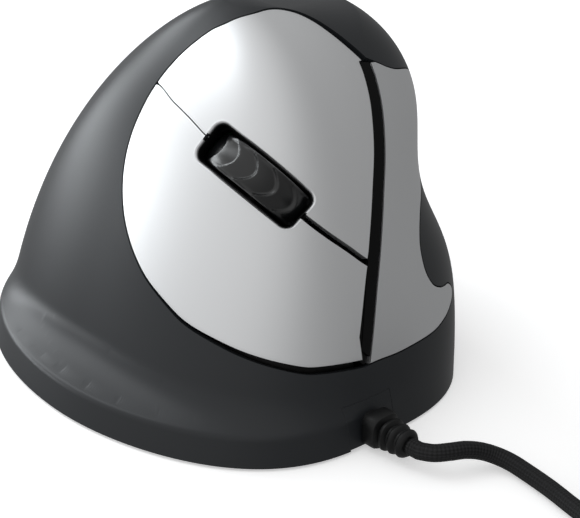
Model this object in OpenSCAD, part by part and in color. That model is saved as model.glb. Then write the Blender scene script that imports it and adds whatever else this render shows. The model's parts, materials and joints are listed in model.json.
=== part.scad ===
// Vertical mouse for the right hand: +Z up, cable end towards -Y, palm side -X, thumb side +X.
// Origin under the middle of the body's box, on the surface that the feet stand on. Millimetres.

/* [Body form] */
// Height of the crown
body_h = 74; // [68:0.5:80]
// Reach of the palm side at the foot
palm_reach = 39; // [36:0.5:42]
// Reach of the thumb side at the foot
thumb_reach = 39; // [36:0.5:42]
// Reach of the cable end at the foot
front_reach = 56; // [53:0.5:59]
// Reach of the rear at the foot
rear_reach = 45; // [42:0.5:48]
// How far the crown leans towards the thumb
lean_x = 10; // [8:0.5:12]
// How far the crown leans to the rear
lean_y = 4; // [3:0.5:6]
// Squareness of the plan, 2 is an ellipse
squareness = 2.7; // [2.4:0.1:3]

/* [Little-finger lip and thumb hollow] */
// Reach of the lip beyond the body
lip_reach = 8; // [6:0.5:10]
// Height of the lip's edge
lip_z = 6.5; // [5.5:0.5:8]
// Height where the lip's hollow runs out into the body
lip_top = 13.5; // [12:0.5:16]
// Depth of the thumb hollow
hollow_d = 10.5; // [8:0.5:12]
// Height of the thumb hollow
hollow_z = 38; // [36:0.5:40]
// Half height of the thumb hollow
hollow_s = 12; // [11:0.5:13]

/* [Shells] */
// Wall of the shells and of the thumb panel
wall = 2.2; // [1.8:0.1:2.6]
// Seam between the two shells
seam = 0.3; // [0.2:0.05:0.5]
// Gap round the thumb panel and the cable gland
panel_gap = 0.35; // [0.25:0.05:0.6]
// Clearance of the key tray below the shells
tray_clear = 0.4; // [0.2:0.05:0.5]
// Thickness of the key tray
tray_t = 1.6; // [1.2:0.1:2]
// How far the key tray laps under the shells
tray_lap = 2; // [1.5:0.25:3]
// Width of the black spine
spine_w = 3.2; // [2.6:0.1:4]
// Depth of the black spine below the buttons
spine_d = 1; // [0.6:0.1:1.4]
// Gap between the black spine and the upper and lower buttons
spine_gap = 0.65; // [0.6:0.05:0.8]

/* [Buttons] */
// Thickness of the two main buttons
key_t = 1.6; // [1.3:0.1:1.7]
// Gap between a main button and what lies beside it
key_gap = 0.5; // [0.4:0.05:0.8]
// Wider gap where a main button nears the spine's ends
key_gap_end = 1.5; // [0.8:0.1:2]
// Hinge pin of a main button
pin_d = 2; // [1.6:0.1:2.4]
// Length of a hinge pin
pin_l = 13; // [12.5:0.5:16]
// Thickness of a hinge arm
arm_t = 2; // [1.6:0.1:2.4]
// Depth of the hinge pin below the skin
pin_depth = 6.2; // [6:0.1:7]
// Thickness of the tray's hinge lugs
lug_t = 1.6; // [1.2:0.1:2]
// Length of a thumb button
side_l = 12; // [10:0.5:12.5]
// Height of a thumb button
side_h = 6; // [5:0.25:7]
// Gap round a thumb button
side_gap = 0.4; // [0.3:0.05:0.6]
// Thickness of a thumb button
side_t = 3.7; // [3.5:0.1:4]
// Rim of a thumb button behind the shell
side_rim = 1; // [0.8:0.1:1.4]

/* [Scroll wheel] */
// Diameter over the tyre
wheel_d = 24; // [22:0.5:25]
// Width of the tyre
wheel_w = 7; // [6:0.25:7.4]
// How far the tyre stands proud of the buttons
wheel_proud = 2.6; // [2:0.1:3.2]
// Thickness of the tyre
tyre_t = 2.4; // [2:0.1:3]
// Tread grooves round the tyre
tread_n = 22; // [16:1:26]
// Depth of a tread groove
tread_d = 0.6; // [0.4:0.1:0.8]
// Length of the slot in the buttons
slot_l = 24; // [23:0.5:26]
// Width of the slot in the buttons
slot_w = 8.4; // [8.2:0.1:9]
// Diameter of the axle
axle_d = 3; // [2.4:0.1:3.4]
// Room beside the tyre in its cradle
cradle_gap = 1; // [0.6:0.1:1.2]
// Thickness of the cradle's cheeks and floor
cheek_t = 1.6; // [1.2:0.1:2]
// Diameter of the encoder's rotor
rotor_d = 5.8; // [5:0.1:6]
// Width of the encoder along the axle
encoder_w = 4.4; // [3.6:0.2:5]
// Diameter of the cradle's guide pins
guide_d = 2; // [1.6:0.1:2.2]

/* [Boards and switches] */
// Thickness of the circuit boards
board_t = 1.6; // [1:0.1:2]
// Depth of the switch board below the wheel slot
board_depth = 15; // [14.5:0.25:16]
// Length of a switch
switch_l = 6; // [5.5:0.25:6.5]
// Width of a switch
switch_w = 4.6; // [4:0.2:5]
// Height of a switch
switch_h = 3.4; // [3:0.1:3.6]
// Diameter of a switch plunger
plunger_d = 2; // [1.6:0.1:2.2]
// How far a plunger stands above its switch
plunger_up = 0.8; // [0.7:0.1:1]
// Diameter of the posts under the buttons
post_d = 2.4; // [2:0.1:2.8]
// Depth of the side board behind the thumb buttons
side_depth = 9.5; // [9:0.25:10.5]
// Diameter of the bosses that carry the boards
boss_d = 4.6; // [4.2:0.1:5]
// Shank diameter of the small screws
screw_d = 1.6; // [1.4:0.1:1.8]
// Length of the main board
main_l = 38; // [34:1:42]
// Width of the main board
main_w = 40; // [36:1:44]
// Height of the main board's underside
main_z = 7; // [6.5:0.25:8]

/* [Base] */
// Thickness of the glide feet
foot_t = 0.6; // [0.5:0.1:0.8]
// Thickness of the base plate
base_t = 2.4; // [2.2:0.1:3]
// Clearance between the base plate and the shells
base_clear = 0.7; // [0.4:0.1:0.8]
// Diameter of the base screws' bosses
pillar_d = 6; // [5.5:0.1:6.5]
// Shank diameter of the base screws
base_screw_d = 2.4; // [2:0.1:2.6]
// Head diameter of the base screws
base_head_d = 4.6; // [4.2:0.1:5]
// Diameter of the sensor window
window_d = 9; // [8:0.5:10]

/* [Cable] */
// Diameter of the cable
cable_d = 3.6; // [3.2:0.1:3.9]
// Radius of the relief's block at the gland
relief_r = 3.6; // [3.3:0.1:3.8]
// Length of the relief outside the gland
relief_l = 11.5; // [11.5:0.5:11.5]
// Turns in each of the coil's two layers
coil_turns = 5; // [5:1:5]
// Step from turn to turn and from layer to layer
coil_pitch = 4.1; // [4.1:0.1:4.1]
// Radius of the coil's innermost turn
coil_in = 11.5; // [11.5:0.5:11.5]
// Thickness of the coil's tie
tie_t = 0.7; // [0.5:0.1:0.7]
// Width of the coil's tie
tie_w = 7; // [5:0.5:8]
// Length of the plug's overmould
overmould_l = 30; // [26:1:34]

/* [Hidden] */
$fn = 48;

// Fullness of each side from the crown, first, to the foot, last, as shares of its reach
palm_form = [0.79, 0.83, 0.87, 0.905, 1];
thumb_form = [2.3, 1.77, 1.32, 1.09, 1];
front_form = [0.87, 0.875, 0.885, 0.91, 1];
rear_form = [0.42, 0.7, 0.9, 0.99, 1];
lip_bearing = 190;
lip_spread = 86;
lip_power = 2.6;
hollow_bearing = -10;
hollow_spread = 80;

// Lines on the skin: bearing round the crown and angle down from it, both in degrees.
// The two edges run from the spine's foot to its top, and their third value is the bearing
// where the shell's guide line from that point meets the lip.
palm_edge = [[263, 78.2, 264], [252, 76.6, 252], [237.5, 74, 238], [224.5, 72, 225], [211.5, 69.5, 212],
    [199.5, 65.5, 198], [189.5, 60.5, 184], [182, 54.5, 170], [177, 46, 155], [176, 38.5, 141],
    [181, 30, 128], [192, 21.5, 116], [216, 14, 106], [258, 9.5, 96], [287, 10.5, 87], [297, 16.2, 78],
    [300, 24, 70], [302, 29.5, 62]];
thumb_edge = [[263, 78.2, 264], [272, 78.2, 271], [281.5, 77.9, 279], [290, 77, 286], [297.5, 75, 292],
    [295.5, 72.6, 297], [290.5, 71.2, 302], [286, 67, 307], [289.5, 61.5, 313], [299, 58.2, 320],
    [310, 55.5, 329], [320, 52.5, 339], [326.5, 48.5, 350], [328, 44.5, 364], [324, 41, 380],
        [318, 38.8, 396],
    [313, 36.4, 409], [307.5, 33.4, 417], [302, 29.5, 422]];
spine_line = [[263, 77.4], [265, 72.4], [267.5, 67], [271.5, 60.5], [277, 53.5], [283.5, 47], [291, 39.8],
    [297.5, 33.8], [301.8, 29.8]];
split_line = [[178, 35.6], [191, 36.7], [204, 38], [220, 40.6], [237.5, 46.8], [250.5, 53.2], [259, 58],
    [268.6, 63.2]];
wheel_at = [237.5, 46.8];
wheel_ahead = [250.5, 53.2];
upper_hinge_at = [200, 27.5];
lower_hinge_at = [186, 46];
side_at = [357, 44.5];
side_ahead = [347, 44.5];
pillar_bearings = [212, 130, 320, 42];

// The cable's points, chosen by hand: the lead on the desk, and the tail from the coil to the plug
gland_x = -4;
gland_z = 4.4;
lead_points = [[-4, -60.5, 4.4], [-4, -63, 4.5], [-2.7, -65.7, 4.8], [-0.2, -67.6, 5], [2.8, -68.9, 4.8],
    [5.7, -70.3, 4], [8, -72.3, 3], [9.3, -75.3, 2.3], [9.5, -79.5, 1.9], [8.9, -86, 1.8], [7.6, -93.5, 1.8],
    [6.6, -101, 1.8], [6.1, -109, 2.4], [6, -115, 2.8], [6, -118.4, 2.8], [6, -122, 2.8]];
tail_points = [[6, -122, 6.9], [6, -126, 6.9], [6, -133, 6.7], [7, -141, 5.4], [11.5, -149.5, 4],
    [19, -156.5, 3.6], [27, -160.4, 4], [32, -161, 4], [36, -161, 4]];
lead_sides = 8;
coil_sides = 6;
coil_rings = 24;

// Fits and small sizes
run_clear = 0.05;
touch_gap = 0.05;
rim_clear = 0.75;
press_room = 0.3;
relief_play = 0.6;
pad_press = 0.5;
tray_d = wall + tray_clear;
tray_in = tray_d + tray_t;
base_z = foot_t + base_t;
axle_z = wheel_proud - wheel_d / 2;
hub_d = wheel_d - 2 * tyre_t;
cheek_y = wheel_w / 2 + cradle_gap;
cradle_floor = axle_z - wheel_d / 2 - cradle_gap - cheek_t;
switch_top = switch_h - board_depth;
plunger_top = switch_top + plunger_up;
side_top = switch_h - side_depth;
side_plunger_top = side_top + plunger_up;
coil_out = coil_in + coil_turns * coil_pitch;

// Spots in the wheel's own frame, x forward along the slot and y up across it
upper_spot = [10, 7.2];
lower_spot = [11.5, -9.5];
middle_spot = [16.5, -4.5];
board_outline = [[-17.5, -6.5], [-9, -13], [20.5, -13], [20.5, 2], [15.5, 10.5], [-4, 13], [-17.5, 13]];
board_bosses = [[-14.9, 8.5], [-14.9, -4], [17.5, -9.8]];
guide_x = -10;
guide_y = cheek_y + cheek_t / 2 + 2;
side_x = side_l / 2 + side_gap / 2;
side_boss_y = side_h / 2 + side_gap + side_rim + boss_d / 2 + 0.4;
main_at = [2, -9];
sensor_at = [2, -10];

// Geometry of the skin
function smooth(x) = let (t = min(1, max(0, x))) t * t * (3 - 2 * t);
function turn_from(a, b) = abs((a - b + 540) % 360 - 180);
function fullness(f, t) = let (s = 1 - t)
    f[0] * s ^ 4 + 4 * f[1] * t * s ^ 3 + 6 * f[2] * t ^ 2 * s ^ 2 + 4 * f[3] * t ^ 3 * s + f[4] * t ^ 4;
function lip_rise(z) = z <= lip_z ? 1 : max(0, 1 - (z - lip_z) / (lip_top - lip_z)) ^ lip_power;
function hollow(b, z) = hollow_d * smooth(1 - turn_from(b, hollow_bearing) / hollow_spread)
    * exp(-((z - hollow_z) / hollow_s) ^ 2);
function reach(b, c) = let (
    t = c / 90,
    z = body_h * cos(c),
    ex = cos(b) < 0 ? palm_reach * fullness(palm_form, t) : thumb_reach * fullness(thumb_form, t),
    ey = sin(b) < 0 ? front_reach * fullness(front_form, t) : rear_reach * fullness(rear_form, t),
    plan = (abs(cos(b) / ex) ^ squareness + abs(sin(b) / ey) ^ squareness) ^ (-1 / squareness))
    sin(c) * plan + lip_reach * smooth(1 - turn_from(b, lip_bearing) / lip_spread) * lip_rise(z)
        - hollow(b, z);
function raw_skin(q) = let (c = norm(q), b = atan2(q.y, q.x) + 360, r = reach(b, c))
    [lean_x * cos(c) + r * cos(b), lean_y * cos(c) + r * sin(b), body_h * cos(c)];
function chart(p) = [p[1] * cos(p[0]), p[1] * sin(p[0])];
function colat(z) = acos(z / body_h);
lip_c = colat(lip_z);
foot_c = colat(foot_t);
box_samples = [for (b = [0:5:355], c = [each [20:5:85], lip_c, foot_c]) raw_skin(chart([b, c]))];
box_mid = [for (k = [0, 1]) let (v = [for (p = box_samples) p[k]]) (min(v) + max(v)) / 2];
function skin(q) = raw_skin(q) - [box_mid.x, box_mid.y, 0];
function unit(v) = v / norm(v);
function normal(q, e = 0.4) = unit(cross(skin(q + [e, 0]) - skin(q - [e, 0]),
    skin(q + [0, e]) - skin(q - [0, e])));
function below(q, d) = skin(q) - d * normal(q);

// Smooth curves through chart points, evenly spaced again, and shifted sideways by a distance on the skin
function spline_at(a, b, c, d, t) = ((2 * b) + (c - a) * t + (2 * a - 5 * b + 4 * c - d) * t ^ 2
    + (3 * b - a - 3 * c + d) * t ^ 3) / 2;
function spline(k, n = 6) = let (m = len(k) - 1) [for (i = [0:m - 1], j = [0:n - 1])
    spline_at(k[max(0, i - 1)], k[i], k[i + 1], k[min(m, i + 2)], j / n), k[m]];
function running(c) = [for (i = 0, s = 0; i < len(c); s = s + (i + 1 < len(c) ? norm(c[i + 1] - c[i]) : 0),
    i = i + 1) s];
function on_curve(c, l, s) = let (k = [for (i = [0:len(c) - 2]) if (l[i + 1] >= s || i == len(c) - 2) i][0],
    t = (s - l[k]) / max(1e-9, l[k + 1] - l[k])) c[k] * (1 - t) + c[k + 1] * t;
function even(c, n, from = 0, to = 1) = let (l = running(c), w = l[len(c) - 1])
    [for (i = [0:n]) on_curve(c, l, w * (from + (to - from) * i / n))];
function flat(p) = [for (q = p) [q[0], q[1]]];
function charted(k) = [for (p = k) chart(p)];
function charted_edge(k) = [for (p = k) [p[1] * cos(p[0]), p[1] * sin(p[0]), p[2]]];
function shift_by(c, g) = let (m = len(c) - 1) [for (i = [0:m]) let (
    t = unit(c[min(m, i + 1)] - c[max(0, i - 1)]),
    w = [-t.y, t.x],
    e = 0.3,
    along = unit(skin(c[i] + e * t) - skin(c[i] - e * t)),
    side = (skin(c[i] + e * w) - skin(c[i] - e * w)) / (2 * e),
    slip = norm(side - (side * along) * along))
    c[i] + w * (is_list(g) ? g[i] : g) / slip];
function ruled(a, b, rows) = [for (r = [0:rows]) [for (j = [0:len(a) - 1]) a[j] + (b[j] - a[j]) * r / rows]];

// A closed skin over a grid of chart points: outer face at depth d0, which may differ from row to row
function grid_turn(g) = let (n = len(g) - 1, m = len(g[0]) - 1,
    ring = concat(g[0], [for (r = [1:n]) g[r][m]], [for (j = [m - 1:-1:0]) g[n][j]],
        [for (r = [n - 1:-1:1]) g[r][0]]),
    k = len(ring)) [for (i = 0, s = 0; i <= k; s = s + (i < k ? cross(ring[i], ring[(i + 1) % k]) : 0),
        i = i + 1) s][k];
module loft(grid, d0, d1) {
    n = len(grid);
    m = len(grid[0]);
    outer = [for (r = [0:n - 1], j = [0:m - 1]) below(grid[r][j], is_list(d0) ? d0[r] : d0)];
    inner = [for (r = [0:n - 1], j = [0:m - 1]) below(grid[r][j], d1)];
    f = n * m;
    quads = concat(
        [for (r = [0:n - 2], j = [0:m - 2]) [r * m + j, r * m + j + 1, (r + 1) * m + j + 1,
            (r + 1) * m + j]],
        [for (r = [0:n - 2], j = [0:m - 2])
            [f + r * m + j, f + (r + 1) * m + j, f + (r + 1) * m + j + 1, f + r * m + j + 1]],
        [for (j = [0:m - 2]) [j, f + j, f + j + 1, j + 1]],
        [for (j = [0:m - 2]) let (a = (n - 1) * m + j) [a, a + 1, f + a + 1, f + a]],
        [for (r = [0:n - 2]) let (a = r * m) [a, a + m, f + a + m, f + a]],
        [for (r = [0:n - 2]) let (a = r * m + m - 1) [a, f + a, f + a + m, a + m]]);
    flip = grid_turn(grid) > 0;
    polyhedron(concat(outer, inner), [for (q = quads, t = [[0, 1, 2], [0, 2, 3]])
        flip ? [q[t[2]], q[t[1]], q[t[0]]] : [q[t[0]], q[t[1]], q[t[2]]]]);
}

// Frames on the skin: origin, forward, across and outward
function frame_to(q, ahead) = let (o = skin(q), n = normal(q), t = skin(ahead) - o,
    x = unit(t - (t * n) * n))
    [o, x, cross(n, x), n, q];
function local(f, p) = [(p - f[0]) * f[1], (p - f[0]) * f[2], (p - f[0]) * f[3]];
function chart_at(f, q, x, y, i = 0) = i == 6 ? q : let (e = 0.5, p = local(f, skin(q)),
    u = (local(f, skin(q + [e, 0])) - p) / e, v = (local(f, skin(q + [0, e])) - p) / e,
    d = u.x * v.y - v.x * u.y, a = x - p.x, b = y - p.y)
    chart_at(f, q + [(v.y * a - v.x * b) / d, (u.x * b - u.y * a) / d], x, y, i + 1);
module placed(f) {
    multmatrix([[f[1].x, f[2].x, f[3].x, f[0].x], [f[1].y, f[2].y, f[3].y, f[0].y],
        [f[1].z, f[2].z, f[3].z, f[0].z], [0, 0, 0, 1]]) children();
}
wheel_q = chart(wheel_at);
side_q = chart(side_at);
key_frame = frame_to(wheel_q, chart(wheel_ahead));
side_frame = frame_to(side_q, chart(side_ahead));
function key_chart(s) = chart_at(key_frame, wheel_q, s.x, s.y);
function key_level(s, d) = local(key_frame, below(key_chart(s), d)).z;
function side_chart(x, y) = chart_at(side_frame, side_q, x, y);
function side_level(x, y, d) = local(side_frame, below(side_chart(x, y), d)).z;
function ring(d) = [for (a = [0:45:315]) d / 2 * [cos(a), sin(a)]];
function key_boss_top(s) = min([for (v = ring(boss_d)) key_level(s + v, tray_d + tray_t / 2)]);
function side_boss_top(x, y) = min([for (v = ring(boss_d)) side_level(x + v.x, y + v.y, wall / 2)]);
upper_hinge = frame_to(chart(upper_hinge_at), key_chart(upper_spot));
lower_hinge = frame_to(chart(lower_hinge_at), key_chart(lower_spot));

// The panels' edges on the chart
edge_n = 44;
palm_curve = spline(charted_edge(palm_edge));
thumb_curve = spline(charted_edge(thumb_edge));
spine_curve = spline(charted(spine_line));
split_curve = spline(charted(split_line));
function spine_side(g, from, to, n) = shift_by(even(spine_curve, n, from, to), g);
function widening(n, from, to) = [for (i = [0:n]) -key_gap - (key_gap_end - key_gap)
    * smooth((from + (to - from) * i / n - 0.5) * 2)];
function share_near(c, p) = let (e = even(c, 200), d = [for (q = e) norm(q - p)], m = min(d))
    [for (i = [0:200]) if (d[i] == m) i / 200][0];
split_share = share_near(spine_curve, split_curve[len(split_curve) - 1]);
split_palm = share_near(flat(palm_curve), split_curve[0]);

// Shapes that repeat
module rounded_plate(l, w, r, h) {
    linear_extrude(h) {
        square([l - 2 * r, w], center = true);
        square([l, w - 2 * r], center = true);
        for (x = [-1, 1], y = [-1, 1]) translate([x * (l / 2 - r), y * (w / 2 - r)]) circle(r);
    }
}
module box(x, y, z) {
    translate([x[0], y[0], z[0]]) cube([x[1] - x[0], y[1] - y[0], z[1] - z[0]]);
}
module rod(d, z0, z1) {
    translate([0, 0, z0]) cylinder(d = d, h = z1 - z0);
}
module across(d, y0, y1) {
    translate([0, y0, 0]) rotate([-90, 0, 0]) cylinder(d = d, h = y1 - y0);
}
module screw(d, head, head_h, l) {
    rod(d, 0, l);
    rod(head, -head_h, 0);
}
module switch_body(z0) {
    difference() {
        translate([0, 0, z0]) rounded_plate(switch_l, switch_w, 0.6, switch_h);
        rod(plunger_d + 2 * run_clear, z0 + 1, z0 + switch_h + 1);
    }
}
module plunger(z0) {
    rod(plunger_d, z0 + 1.2 + pad_press, z0 + switch_h + plunger_up);
}

// A tube swept along points, with the first and last faces square to their stretch
function sweep_dir(p, i) = unit(p[min(len(p) - 1, i + 1)] - p[max(0, i - 1)]);
module sweep(points, section) {
    k = len(section);
    n = len(points);
    rings = [for (i = [0:n - 1]) let (t = sweep_dir(points, i), s = unit(cross(t, [0, 0, 1])),
        u = cross(s, t))
        for (c = section) points[i] + s * c.x + u * c.y];
    sides = [for (i = [0:n - 2], j = [0:k - 1]) let (a = i * k + j, b = i * k + (j + 1) % k)
        each [[a, a + k, b + k], [a, b + k, b]]];
    caps = [for (j = [1:k - 2]) each [[0, j, j + 1], [(n - 1) * k, (n - 1) * k + j + 1, (n - 1) * k + j]]];
    polyhedron(rings, concat(sides, caps));
}
function round_section(d, k) = [for (j = [0:k - 1])
    d / 2 * [cos(360 * (j + 0.5) / k), sin(360 * (j + 0.5) / k)]];
function smooth_route(p, n) = let (m = len(p) - 1)
    concat([p[0]], spline([for (i = [1:m - 1]) p[i]], n), [p[m]]);

// The palm and thumb shells
function guide_line(e, rows) = let (a = [e[0], e[1]], b = lip_c * [cos(e[2]), sin(e[2])])
    concat([for (k = [0:rows]) a + (b - a) * (1 - (1 - k / rows) ^ 1.7)], [foot_c * [cos(e[2]), sin(e[2])]]);
module shell_skin(curve, n, rows, side) {
    lines = [for (e = even(curve, n)) guide_line(e, rows)];
    trimmed = [for (i = [0:n]) i == 0 ? shift_by(lines[i], -side * seam / 2)
        : i == n ? shift_by(lines[i], side * seam / 2) : lines[i]];
    loft(trimmed, 0, wall);
}
pillar_top = 17;
function away(b) = [cos(b), sin(b)];
function level_xy(b, z) = let (p = skin(chart([b, colat(z)]))) [p.x, p.y];
function pillar_xy(b) = let (
    foot = level_xy(b, foot_t) - (wall + base_clear + pillar_d / 2 + 0.4) * away(b),
    high = level_xy(b, pillar_top) - (wall + pillar_d / 2 - 0.8) * away(b))
    foot * away(b) < high * away(b) ? foot : high;
module pillars(bearings) {
    for (b = bearings) translate(pillar_xy(b)) {
        rod(pillar_d, base_z, pillar_top);
        rotate(b) box([0, (level_xy(b, pillar_top) - pillar_xy(b)) * away(b) - wall / 2], [-1.2, 1.2],
            [pillar_top - 4, pillar_top]);
    }
}
module pillar_bores(bearings) {
    for (b = bearings) translate(pillar_xy(b)) rod(base_screw_d + 2 * run_clear, base_z - 1, 15);
}
gland_w = 13;
gland_top = 9.6;
gland_y = skin(chart_at([[gland_x, 0, gland_z], [1, 0, 0], [0, 0, 1], [0, -1, 0]],
    chart([264, 86]), 0, 0)).y;
gland_frame = [[gland_x, gland_y, gland_z], [1, 0, 0], [0, 0, 1], [0, -1, 0]];
module gland_cut(g) {
    translate([gland_x, gland_y, 0]) box([-gland_w / 2 - g, gland_w / 2 + g], [-4, 6],
        [foot_t - 1, gland_top + g]);
}
module palm_shell() {
    color("#3a3d40") difference() {
        union() {
            shell_skin(palm_curve, 34, 11, 1);
            pillars([pillar_bearings[0], pillar_bearings[1]]);
        }
        pillar_bores([pillar_bearings[0], pillar_bearings[1]]);
        gland_cut(panel_gap);
    }
}
function pad_grid(x0, l, h, nx = 8, ny = 6) = [for (j = [0:ny]) let (v = -cos(180 * j / ny), y = v * h / 2,
    half = l / 2 - h / 4 * (1 - sqrt(max(0, 1 - v * v)) * 0.999)) [for (i = [0:nx])
    side_chart(x0 - half + 2 * half * i / nx, y)]];
module thumb_shell() {
    color("#2c2e30") difference() {
        union() {
            shell_skin(thumb_curve, 40, 11, -1);
            pillars([pillar_bearings[2], pillar_bearings[3]]);
            placed(side_frame) for (x = [-side_x, side_x]) translate([x, side_boss_y, 0])
                rod(boss_d, -side_depth, side_boss_top(x, side_boss_y));
        }
        pillar_bores([pillar_bearings[2], pillar_bearings[3]]);
        gland_cut(panel_gap);
        loft(pad_grid(0, 2 * side_x + side_l + 2 * side_gap, side_h + 2 * side_gap, 14, 6), -1, wall + 1);
        placed(side_frame) for (x = [-side_x, side_x]) translate([x, side_boss_y, 0])
            rod(screw_d + 2 * run_clear, -side_depth - 1, -side_depth + 4.5);
    }
}
module cable_gland() {
    w = gland_w / 2 - panel_gap;
    low = foot_t + panel_gap - gland_z;
    high = gland_top - panel_gap - gland_z;
    rows = [low, 0, lip_z - gland_z, (lip_z + gland_top) / 2 - gland_z, high];
    color("#26282a") difference() {
        loft([for (y = rows) [for (x = [-w:w / 4:w]) chart_at(gland_frame, chart([264, 86]), x, y)]], 0,
            wall);
        translate([gland_x, gland_y, gland_z]) {
            across(2 * (relief_r - 1) + 2 * run_clear, -5, 9);
            across(2 * relief_r + 2 * run_clear, wall + relief_play, 9);
            across(2 * relief_r + 2 * run_clear, -9, -relief_play);
        }
    }
}

// The base
function rim(b, g) = let (p = skin(foot_c * [cos(b), sin(b)]), v = [cos(b), sin(b)]) [p.x, p.y] - g * v;
module base_plate() {
    color("#232527") difference() {
        union() {
            translate([0, 0, foot_t]) linear_extrude(base_t)
                polygon([for (b = [0:6:354]) rim(b, wall + base_clear)]);
            for (x = [-1, 1], y = [-1, 1]) translate([main_at.x + x * (main_l / 2 - 3),
                main_at.y + y * (main_w / 2 - 3), 0])
                rod(boss_d, base_z - 0.2, main_z);
        }
        for (b = pillar_bearings) translate(pillar_xy(b)) {
            rod(base_screw_d + 0.4, 0, base_z + 1);
            rod(base_head_d + 0.4, 0, foot_t + 1.4);
        }
        for (x = [-1, 1], y = [-1, 1]) translate([main_at.x + x * (main_l / 2 - 3),
            main_at.y + y * (main_w / 2 - 3), 0])
            rod(screw_d + 2 * run_clear, base_z, main_z + 1);
        translate(sensor_at) rod(window_d, 0, base_z + 1);
        translate([gland_x, gland_y, 0]) box([-relief_r - 0.4, relief_r + 0.4], [-4, 5], [0, base_z + 1]);
    }
}
foot_spots = [[-8, -40, 24, 6], [4, 33, 34, 7], [-30, -4, 7, 24]];
module glide_feet() {
    color("#d9dadb") for (s = foot_spots) translate([s[0], s[1], 0])
        rounded_plate(s[2], s[3], min(s[2], s[3]) * 0.45, foot_t);
}
module base_screws() {
    color("#8d9093") for (b = pillar_bearings) translate([each pillar_xy(b), foot_t + 1.4])
        screw(base_screw_d, base_head_d, 1.2, 9);
}

// The tray under the buttons, with the black spine standing up from it
module tray_skin() {
    n = edge_n;
    left = shift_by(even(flat(palm_curve), n), tray_lap);
    right = shift_by(even(flat(thumb_curve), n), -tray_lap);
    spine_l = spine_side(spine_w / 2 - spine_gap, 0, 1, n);
    spine_r = spine_side(-spine_w / 2 + panel_gap, 0, 1, n);
    foot_l = spine_side(spine_w / 2 - spine_gap + 0.1, 0, 1, n);
    foot_r = spine_side(-spine_w / 2 + panel_gap - 0.1, 0, 1, n);
    grid = concat(ruled(left, foot_l, 7), [spine_l, spine_r], ruled(foot_r, right, 6));
    loft(grid, [for (r = [0:len(grid) - 1]) r == 8 || r == 9 ? spine_d : tray_d], tray_in);
}
function lug_top(f, s) = min([for (x = [-2.2, 2.2], y = [pin_l / 2 - 0.4, pin_l / 2 - 0.4 - lug_t])
    local(f, below(chart_at(f, f[4], x, s * y), tray_d + tray_t / 2)).z]);
module hinge_lugs(f) {
    placed(f) for (s = [-1, 1]) translate([0, s * (pin_l / 2 - lug_t / 2 - 0.4) - lug_t / 2, 0])
        difference() {
        union() {
            translate([0, 0, -pin_depth]) across(pin_d + 2.4, 0, lug_t);
            box([-pin_d / 2 - 1.2, pin_d / 2 + 1.2], [0, lug_t], [-pin_depth, lug_top(f, s)]);
        }
        translate([0, 0, -pin_depth]) across(pin_d + 2 * run_clear, -1, lug_t + 1);
    }
}
module hinge_window(f) {
    w = pin_l / 2 - lug_t - 0.8;
    placed(f) box([-3.2, 3.2], [-w, w], [-pin_depth - 3, 1]);
}
module key_tray() {
    color("#17191a") difference() {
        union() {
            tray_skin();
            placed(key_frame) for (s = board_bosses) translate(s)
                rod(boss_d, -board_depth, key_boss_top(s));
            hinge_lugs(upper_hinge);
            hinge_lugs(lower_hinge);
        }
        hinge_window(upper_hinge);
        hinge_window(lower_hinge);
        placed(key_frame) {
            translate([0, 0, -12]) rounded_plate(slot_l + 1, slot_w + 1, 3, 16);
            for (s = [upper_spot, lower_spot]) translate(s) rod(post_d + 1.6, -board_depth + 1, 2);
            for (s = board_bosses) translate(s)
                rod(screw_d + 2 * run_clear, -board_depth - 1, -board_depth + 5);
        }
    }
}
module hinge_pins() {
    color("#a9acae") for (f = [upper_hinge, lower_hinge]) placed(f) translate([0, 0, -pin_depth])
        across(pin_d, -pin_l / 2, pin_l / 2);
}
module thumb_panel() {
    n = edge_n;
    inner = spine_side(-spine_w / 2, 0.015, 0.985, n);
    outer = shift_by(even(flat(thumb_curve), n, 0.015, 0.985), panel_gap);
    color("#8f9293") loft(ruled(inner, outer, 5), 0, wall);
}

// The two main buttons
module key_arms(f, d) {
    w = pin_l / 2 - lug_t - 0.8 - arm_t - 0.3;
    placed(f) for (s = [-1, 1]) translate([0, s * (w + arm_t / 2) - arm_t / 2, 0]) difference() {
        union() {
            translate([0, 0, -pin_depth]) across(pin_d + 2, 0, arm_t);
            box([-pin_d / 2 - 1, pin_d / 2 + 1], [0, arm_t], [-pin_depth, -key_t + 0.5]);
        }
        translate([0, 0, -pin_depth]) across(pin_d + 2 * run_clear, -1, arm_t + 1);
    }
}
module key_post(s) {
    placed(key_frame) translate(s) rod(post_d, plunger_top + touch_gap, key_level(s, key_t / 2));
}
module key_slot() {
    placed(key_frame) translate([0, 0, -10]) rounded_plate(slot_l, slot_w, 3, 16);
}
module upper_button() {
    n = 34;
    split = shift_by(even(split_curve, n, 0.03, 0.985), key_gap / 2);
    from_split = even(flat(palm_curve), 40, split_palm, 1);
    edge = concat(shift_by(from_split, widening(40, 0, 1)),
        spine_side(-spine_w / 2, 0.985, split_share + 0.012, 24));
    color("#c9ccce") difference() {
        union() {
            loft(ruled(split, even(edge, n, 0.015, 0.99), 6), 0, key_t);
            key_arms(upper_hinge);
            key_post(upper_spot);
        }
        key_slot();
    }
}
module lower_button() {
    n = 34;
    split = shift_by(even(split_curve, n, 0.03, 0.985), -key_gap / 2);
    to_split = even(flat(palm_curve), 40, split_palm, 0.011);
    edge = concat(shift_by(to_split, [for (g = widening(40, 0, 1)) -g]),
        spine_side([for (i = [0:16]) spine_w / 2 + press_room * (1 - i / 16)], 0.02,
            split_share - 0.012, 16));
    color("#b9bdc1") difference() {
        union() {
            loft(ruled(split, even(edge, n, 0.015, 0.99), 6), 0, key_t);
            key_arms(lower_hinge);
            key_post(lower_spot);
        }
        key_slot();
    }
}

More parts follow.
